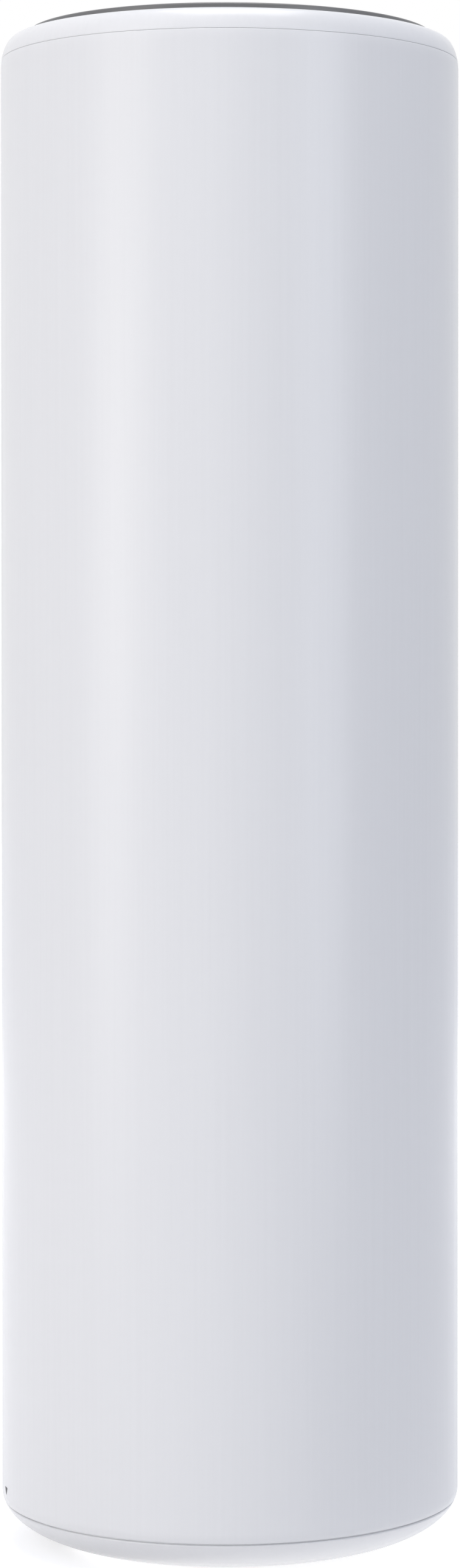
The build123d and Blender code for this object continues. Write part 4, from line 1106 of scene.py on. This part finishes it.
class PURIFIER_OT_outlet_grille(Operator):
    """Make the dark rim, the hub and the curved fins between them"""
    bl_idname = "purifier.outlet_grille"
    bl_label = "Outlet grille"

    def execute(self, context):
        o = context.scene.purifier_outlet
        top, r = high("outlet_grille").z, o.rim_round
        crown = arc((o.rim_radius - r, top - r), r, 0, 90, 6)
        crown += arc((o.rim_bore + r, top - r), r, 90, 180, 6)
        profile = [(o.rim_radius, o.rim_seat)] + crown + [(o.rim_bore, o.rim_seat)]
        rim = smooth(to_object("outlet_rim", lathe(profile, BODY_STEPS)))
        finish_piece(rim, "top_grey", "tower", "outlet_grille")
        self.hub(o, low("outlet_grille").z)
        self.fins(o)
        return {"FINISHED"}

    def hub(self, o, bottom):
        """Round wall with the ledge that carries the control panel."""
        outer, inner, top = o.hub_radius, o.hub_radius - o.hub_wall, o.fin_top
        edge, under = 0.4 * MM, o.ledge_z - 2 * MM
        crown = arc((outer - edge, top - edge), edge, 0, 90, 2)
        crown += arc((inner + edge, top - edge), edge, 90, 180, 2)
        profile = [(outer, bottom)] + crown + [
            (inner, o.ledge_z), (inner - o.ledge_width, o.ledge_z), (inner - o.ledge_width, under),
            (inner, under), (inner, bottom)]
        finish_piece(smooth(to_object("outlet_hub", lathe(profile, 192))), "top_grey", "tower")

    def fins(self, o):
        """Curved fins with rounded upper edges, let into the hub and the rim."""
        bottom, top, sunk = o.fin_foot, o.fin_top, 0.5 * MM
        start, end = o.hub_radius - sunk, o.rim_bore + sunk
        root, tip = Vector((start, 0)), Vector((end * math.cos(o.fin_sweep), end * math.sin(o.fin_sweep)))
        half, steps, bow = o.fin_thickness / 2, 14, 0.4
        crest = [(1.0, 0.6), (0.62, 0.1), (0.0, 0.0), (-0.62, 0.1), (-1.0, 0.6)]  # in half thicknesses
        section = [(-half, bottom), (half, bottom)] + [(half * w, top - half * drop) for w, drop in crest]
        chord = tip - root
        side = Vector((chord.y, -chord.x)) * bow
        bm = bmesh.new()
        rows = []
        for t in spread(0.0, 1.0, steps):
            point = root + chord * t + side * t * (1 - t)
            along = (chord + side * (1 - 2 * t)).normalized()
            across = Vector((-along.y, along.x))
            places = [(point + across * w, z) for w, z in section]
            rows.append([bm.verts.new((place.x, place.y, z)) for place, z in places])
        for row, other in zip(rows, rows[1:]):
            band(bm, row, other)
        bm.faces.new(rows[0][::-1])
        bm.faces.new(rows[-1])
        piece = turned(to_object("outlet_fins", bm), copies_tree(), "top_grey", o.fins, FULL_TURN / o.fins)
        finish_piece(smooth(piece), "top_grey", "tower")


class PURIFIER_OT_button_icons(Operator):
    """Print plain icons on the four buttons: power, fan speed, night and timer"""
    bl_idname = "purifier.button_icons"
    bl_label = "Button icons"

    def execute(self, context):
        line = context.scene.purifier_outlet.icon_line
        sunk, proud = 0.02 * MM, 0.04 * MM
        drawings = {"power": self.power, "speed": self.speed, "mode": self.moon, "timer": self.clock}
        for name, draw in drawings.items():
            node = name + "_button"
            corner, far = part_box(node)
            middle = (corner + far) / 2
            bm = bmesh.new()
            for outline in draw(line):
                points = [(middle.x + x, middle.y + y) for x, y in outline]
                prism(bm, points, far.z - sunk, far.z + proud)
            bm.normal_update()
            bmesh.ops.triangulate(bm, faces=bm.faces, ngon_method="EAR_CLIP")
            finish_piece(to_object(name + "_icon", bm), "icon_print", node)
        return {"FINISHED"}

    def power(self, line):
        """Open ring with a bar in its gap."""
        reach, half_gap, half = 4.6 * MM, 32, line / 2
        bar_low, bar_high = 0.8 * MM, 5.2 * MM
        start, end = 90 + half_gap, 450 - half_gap
        ring = arc((0, 0), reach, start, end, 44) + arc((0, 0), reach - line, end, start, 44)
        bar = [(-half, bar_low), (half, bar_low), (half, bar_high), (-half, bar_high)]
        return [ring, rounded(bar, line * 0.45, {0, 1, 2, 3}, 3)]

    def speed(self, line):
        """Round hub and three blades, each drawn along +X and turned into place."""
        corners = [(1.2, -0.5), (2.6, -1.9), (4.1, -1.2), (4.0, 0.6), (1.5, 0.5)]  # in millimetres
        blade = rounded([(x * MM, y * MM) for x, y in corners], 0.7 * MM, {1, 2, 3}, 4)
        outlines = [arc((0, 0), line, 0, 360, 20)[:-1]]
        for angle in (90, 210, 330):
            along = Vector((math.cos(math.radians(angle)), math.sin(math.radians(angle))))
            across = Vector((-along.y, along.x))
            outlines.append([tuple(along * x + across * y) for x, y in blade])
        return outlines

    def moon(self, _line):
        """Crescent: a disc less a smaller disc set to its upper right, with no line to it."""
        disc, bite, away = 3.9 * MM, 3.2 * MM, Vector((1.9 * MM, 1.1 * MM))
        between = away.length
        middle = math.degrees(math.atan2(away.y, away.x))
        rest = disc ** 2 - bite ** 2
        disc_tip = math.degrees(math.acos((rest + between ** 2) / (2 * disc * between)))
        bite_tip = math.degrees(math.acos((rest - between ** 2) / (2 * bite * between)))
        outer = arc((0, 0), disc, middle + disc_tip, middle - disc_tip + 360, 34)
        inner = arc(away, bite, middle - bite_tip, middle + bite_tip - 360, 26)
        return [outer + inner[1:-1]]

    def clock(self, line):
        """Ring with two hands. A slit of half a degree keeps the ring one outline."""
        reach, half = 4.0 * MM, line * 0.45
        long_hand, short_hand = 2.4 * MM, 1.9 * MM
        start, end = 90, 449.5
        ring = arc((0, 0), reach, start, end, 48) + arc((0, 0), reach - line * 0.85, end, start, 48)
        hands = [(-half, long_hand), (-half, -half), (short_hand, -half), (short_hand, half), (half, half),
                 (half, long_hand)]
        return [ring, hands]


class PURIFIER_OT_filter(Operator):
    """Make the pleated paper and the outer net of the round filter"""
    bl_idname = "purifier.filter"
    bl_label = "Filter"

    def execute(self, context):
        s = context.scene.purifier_filter
        copies = copies_tree()
        self.pleats(s, copies)
        self.net(s, copies)
        return {"FINISHED"}

    def pleats(self, s, copies):
        """One fold of paper, repeated all the way round."""
        corner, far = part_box("filter_media")
        outer, inner, half = far.x, 53 * MM, math.pi / s.pleats
        bend, crest, depth = 1.0 * MM, 0.15 * MM, s.paper * 0.9
        flank = [(1.0, inner), (0.72, inner + bend), (0.28, outer - bend), (0.10, outer - crest)]
        profile = [(-half * part, r) for part, r in flank] + [(0.0, outer)]
        profile += [(half * part, r) for part, r in reversed(flank)]
        bm = bmesh.new()
        rings = []
        for inset in (0.0, depth):
            for z in (corner.z, far.z):
                rings.append([bm.verts.new(((r - inset) * math.cos(a), (r - inset) * math.sin(a), z))
                              for a, r in profile])
        for first, second in ((0, 1), (3, 2), (1, 3), (2, 0)):
            for i in range(len(profile) - 1):
                bm.faces.new((rings[first][i], rings[first][i + 1], rings[second][i + 1], rings[second][i]))
        piece = turned(to_object("pleated_paper", bm, keep_faces=True), copies, "filter_paper", s.pleats,
                       FULL_TURN / s.pleats)
        finish_piece(smooth(face_outwards(piece), 50), "filter_paper", "filter", "filter_media")

    def net(self, s, copies):
        """Rings of strand with a ridge on the outside, and ridged uprights just behind them."""
        corner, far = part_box("prefilter_sleeve")
        outer, t, bottom = far.x, s.strand, corner.z
        rise = (far.z - bottom - t) / (s.net_rows - 1)
        shoulder = outer - 0.25 * t
        profile = [(outer - t, bottom), (shoulder, bottom), (outer, bottom + t / 2), (shoulder, bottom + t),
                   (outer - t, bottom + t)]
        rings = turned(to_object("net_rings", lathe(profile, 120)), copies, "filter_mesh", s.net_rows,
                       0.0, 0.0, rise)
        finish_piece(smooth(rings), "filter_mesh", "filter", "prefilter_sleeve")
        bm = bmesh.new()
        face = outer - t - 0.02 * MM
        back, ridge = face - 0.3 * MM, face + 0.2 * MM
        outline = [(back, -t / 2), (face, -t / 2), (ridge, 0.0), (face, t / 2), (back, t / 2)]
        prism(bm, outline, bottom, far.z)
        uprights = turned(to_object("net_uprights", bm), copies, "filter_mesh", s.net_columns,
                          FULL_TURN / s.net_columns)
        finish_piece(smooth(uprights), "filter_mesh", "filter")


OPERATORS = (
    PURIFIER_OT_stage,
    PURIFIER_OT_finishes,
    PURIFIER_OT_outer_shell,
    PURIFIER_OT_base_cover,
    PURIFIER_OT_shoulder_ring,
    PURIFIER_OT_alignment_mark,
    PURIFIER_OT_outlet_grille,
    PURIFIER_OT_button_icons,
    PURIFIER_OT_filter,
)


class PURIFIER_PT_sidebar(Panel):
    """Lists the pieces and their settings"""
    bl_label = "Air purifier"
    bl_idname = "PURIFIER_PT_sidebar"
    bl_space_type = "VIEW_3D"
    bl_region_type = "UI"
    bl_category = "Purifier"

    def draw(self, context):
        for operator in OPERATORS:
            self.layout.operator(operator.bl_idname)
        for name, group in SETTING_GROUPS:
            box = self.layout.box()
            box.label(text=group.__doc__)
            settings = getattr(context.scene, name)
            for key in group.__annotations__:
                box.prop(settings, key)


def register():
    for name, group in SETTING_GROUPS:
        bpy.utils.register_class(group)
        setattr(bpy.types.Scene, name, PointerProperty(type=group))
    for operator in OPERATORS:
        bpy.utils.register_class(operator)
    bpy.utils.register_class(PURIFIER_PT_sidebar)


def unregister():
    bpy.utils.unregister_class(PURIFIER_PT_sidebar)
    for operator in reversed(OPERATORS):
        bpy.utils.unregister_class(operator)
    for name, group in reversed(SETTING_GROUPS):
        delattr(bpy.types.Scene, name)
        bpy.utils.unregister_class(group)


def main():
    register()
    for operator in OPERATORS:
        group, name = operator.bl_idname.split(".")
        if getattr(getattr(bpy.ops, group), name)() != {"FINISHED"}:
            raise RuntimeError(f"{operator.bl_label} didn't finish")


if __name__ == "__main__":
    main()
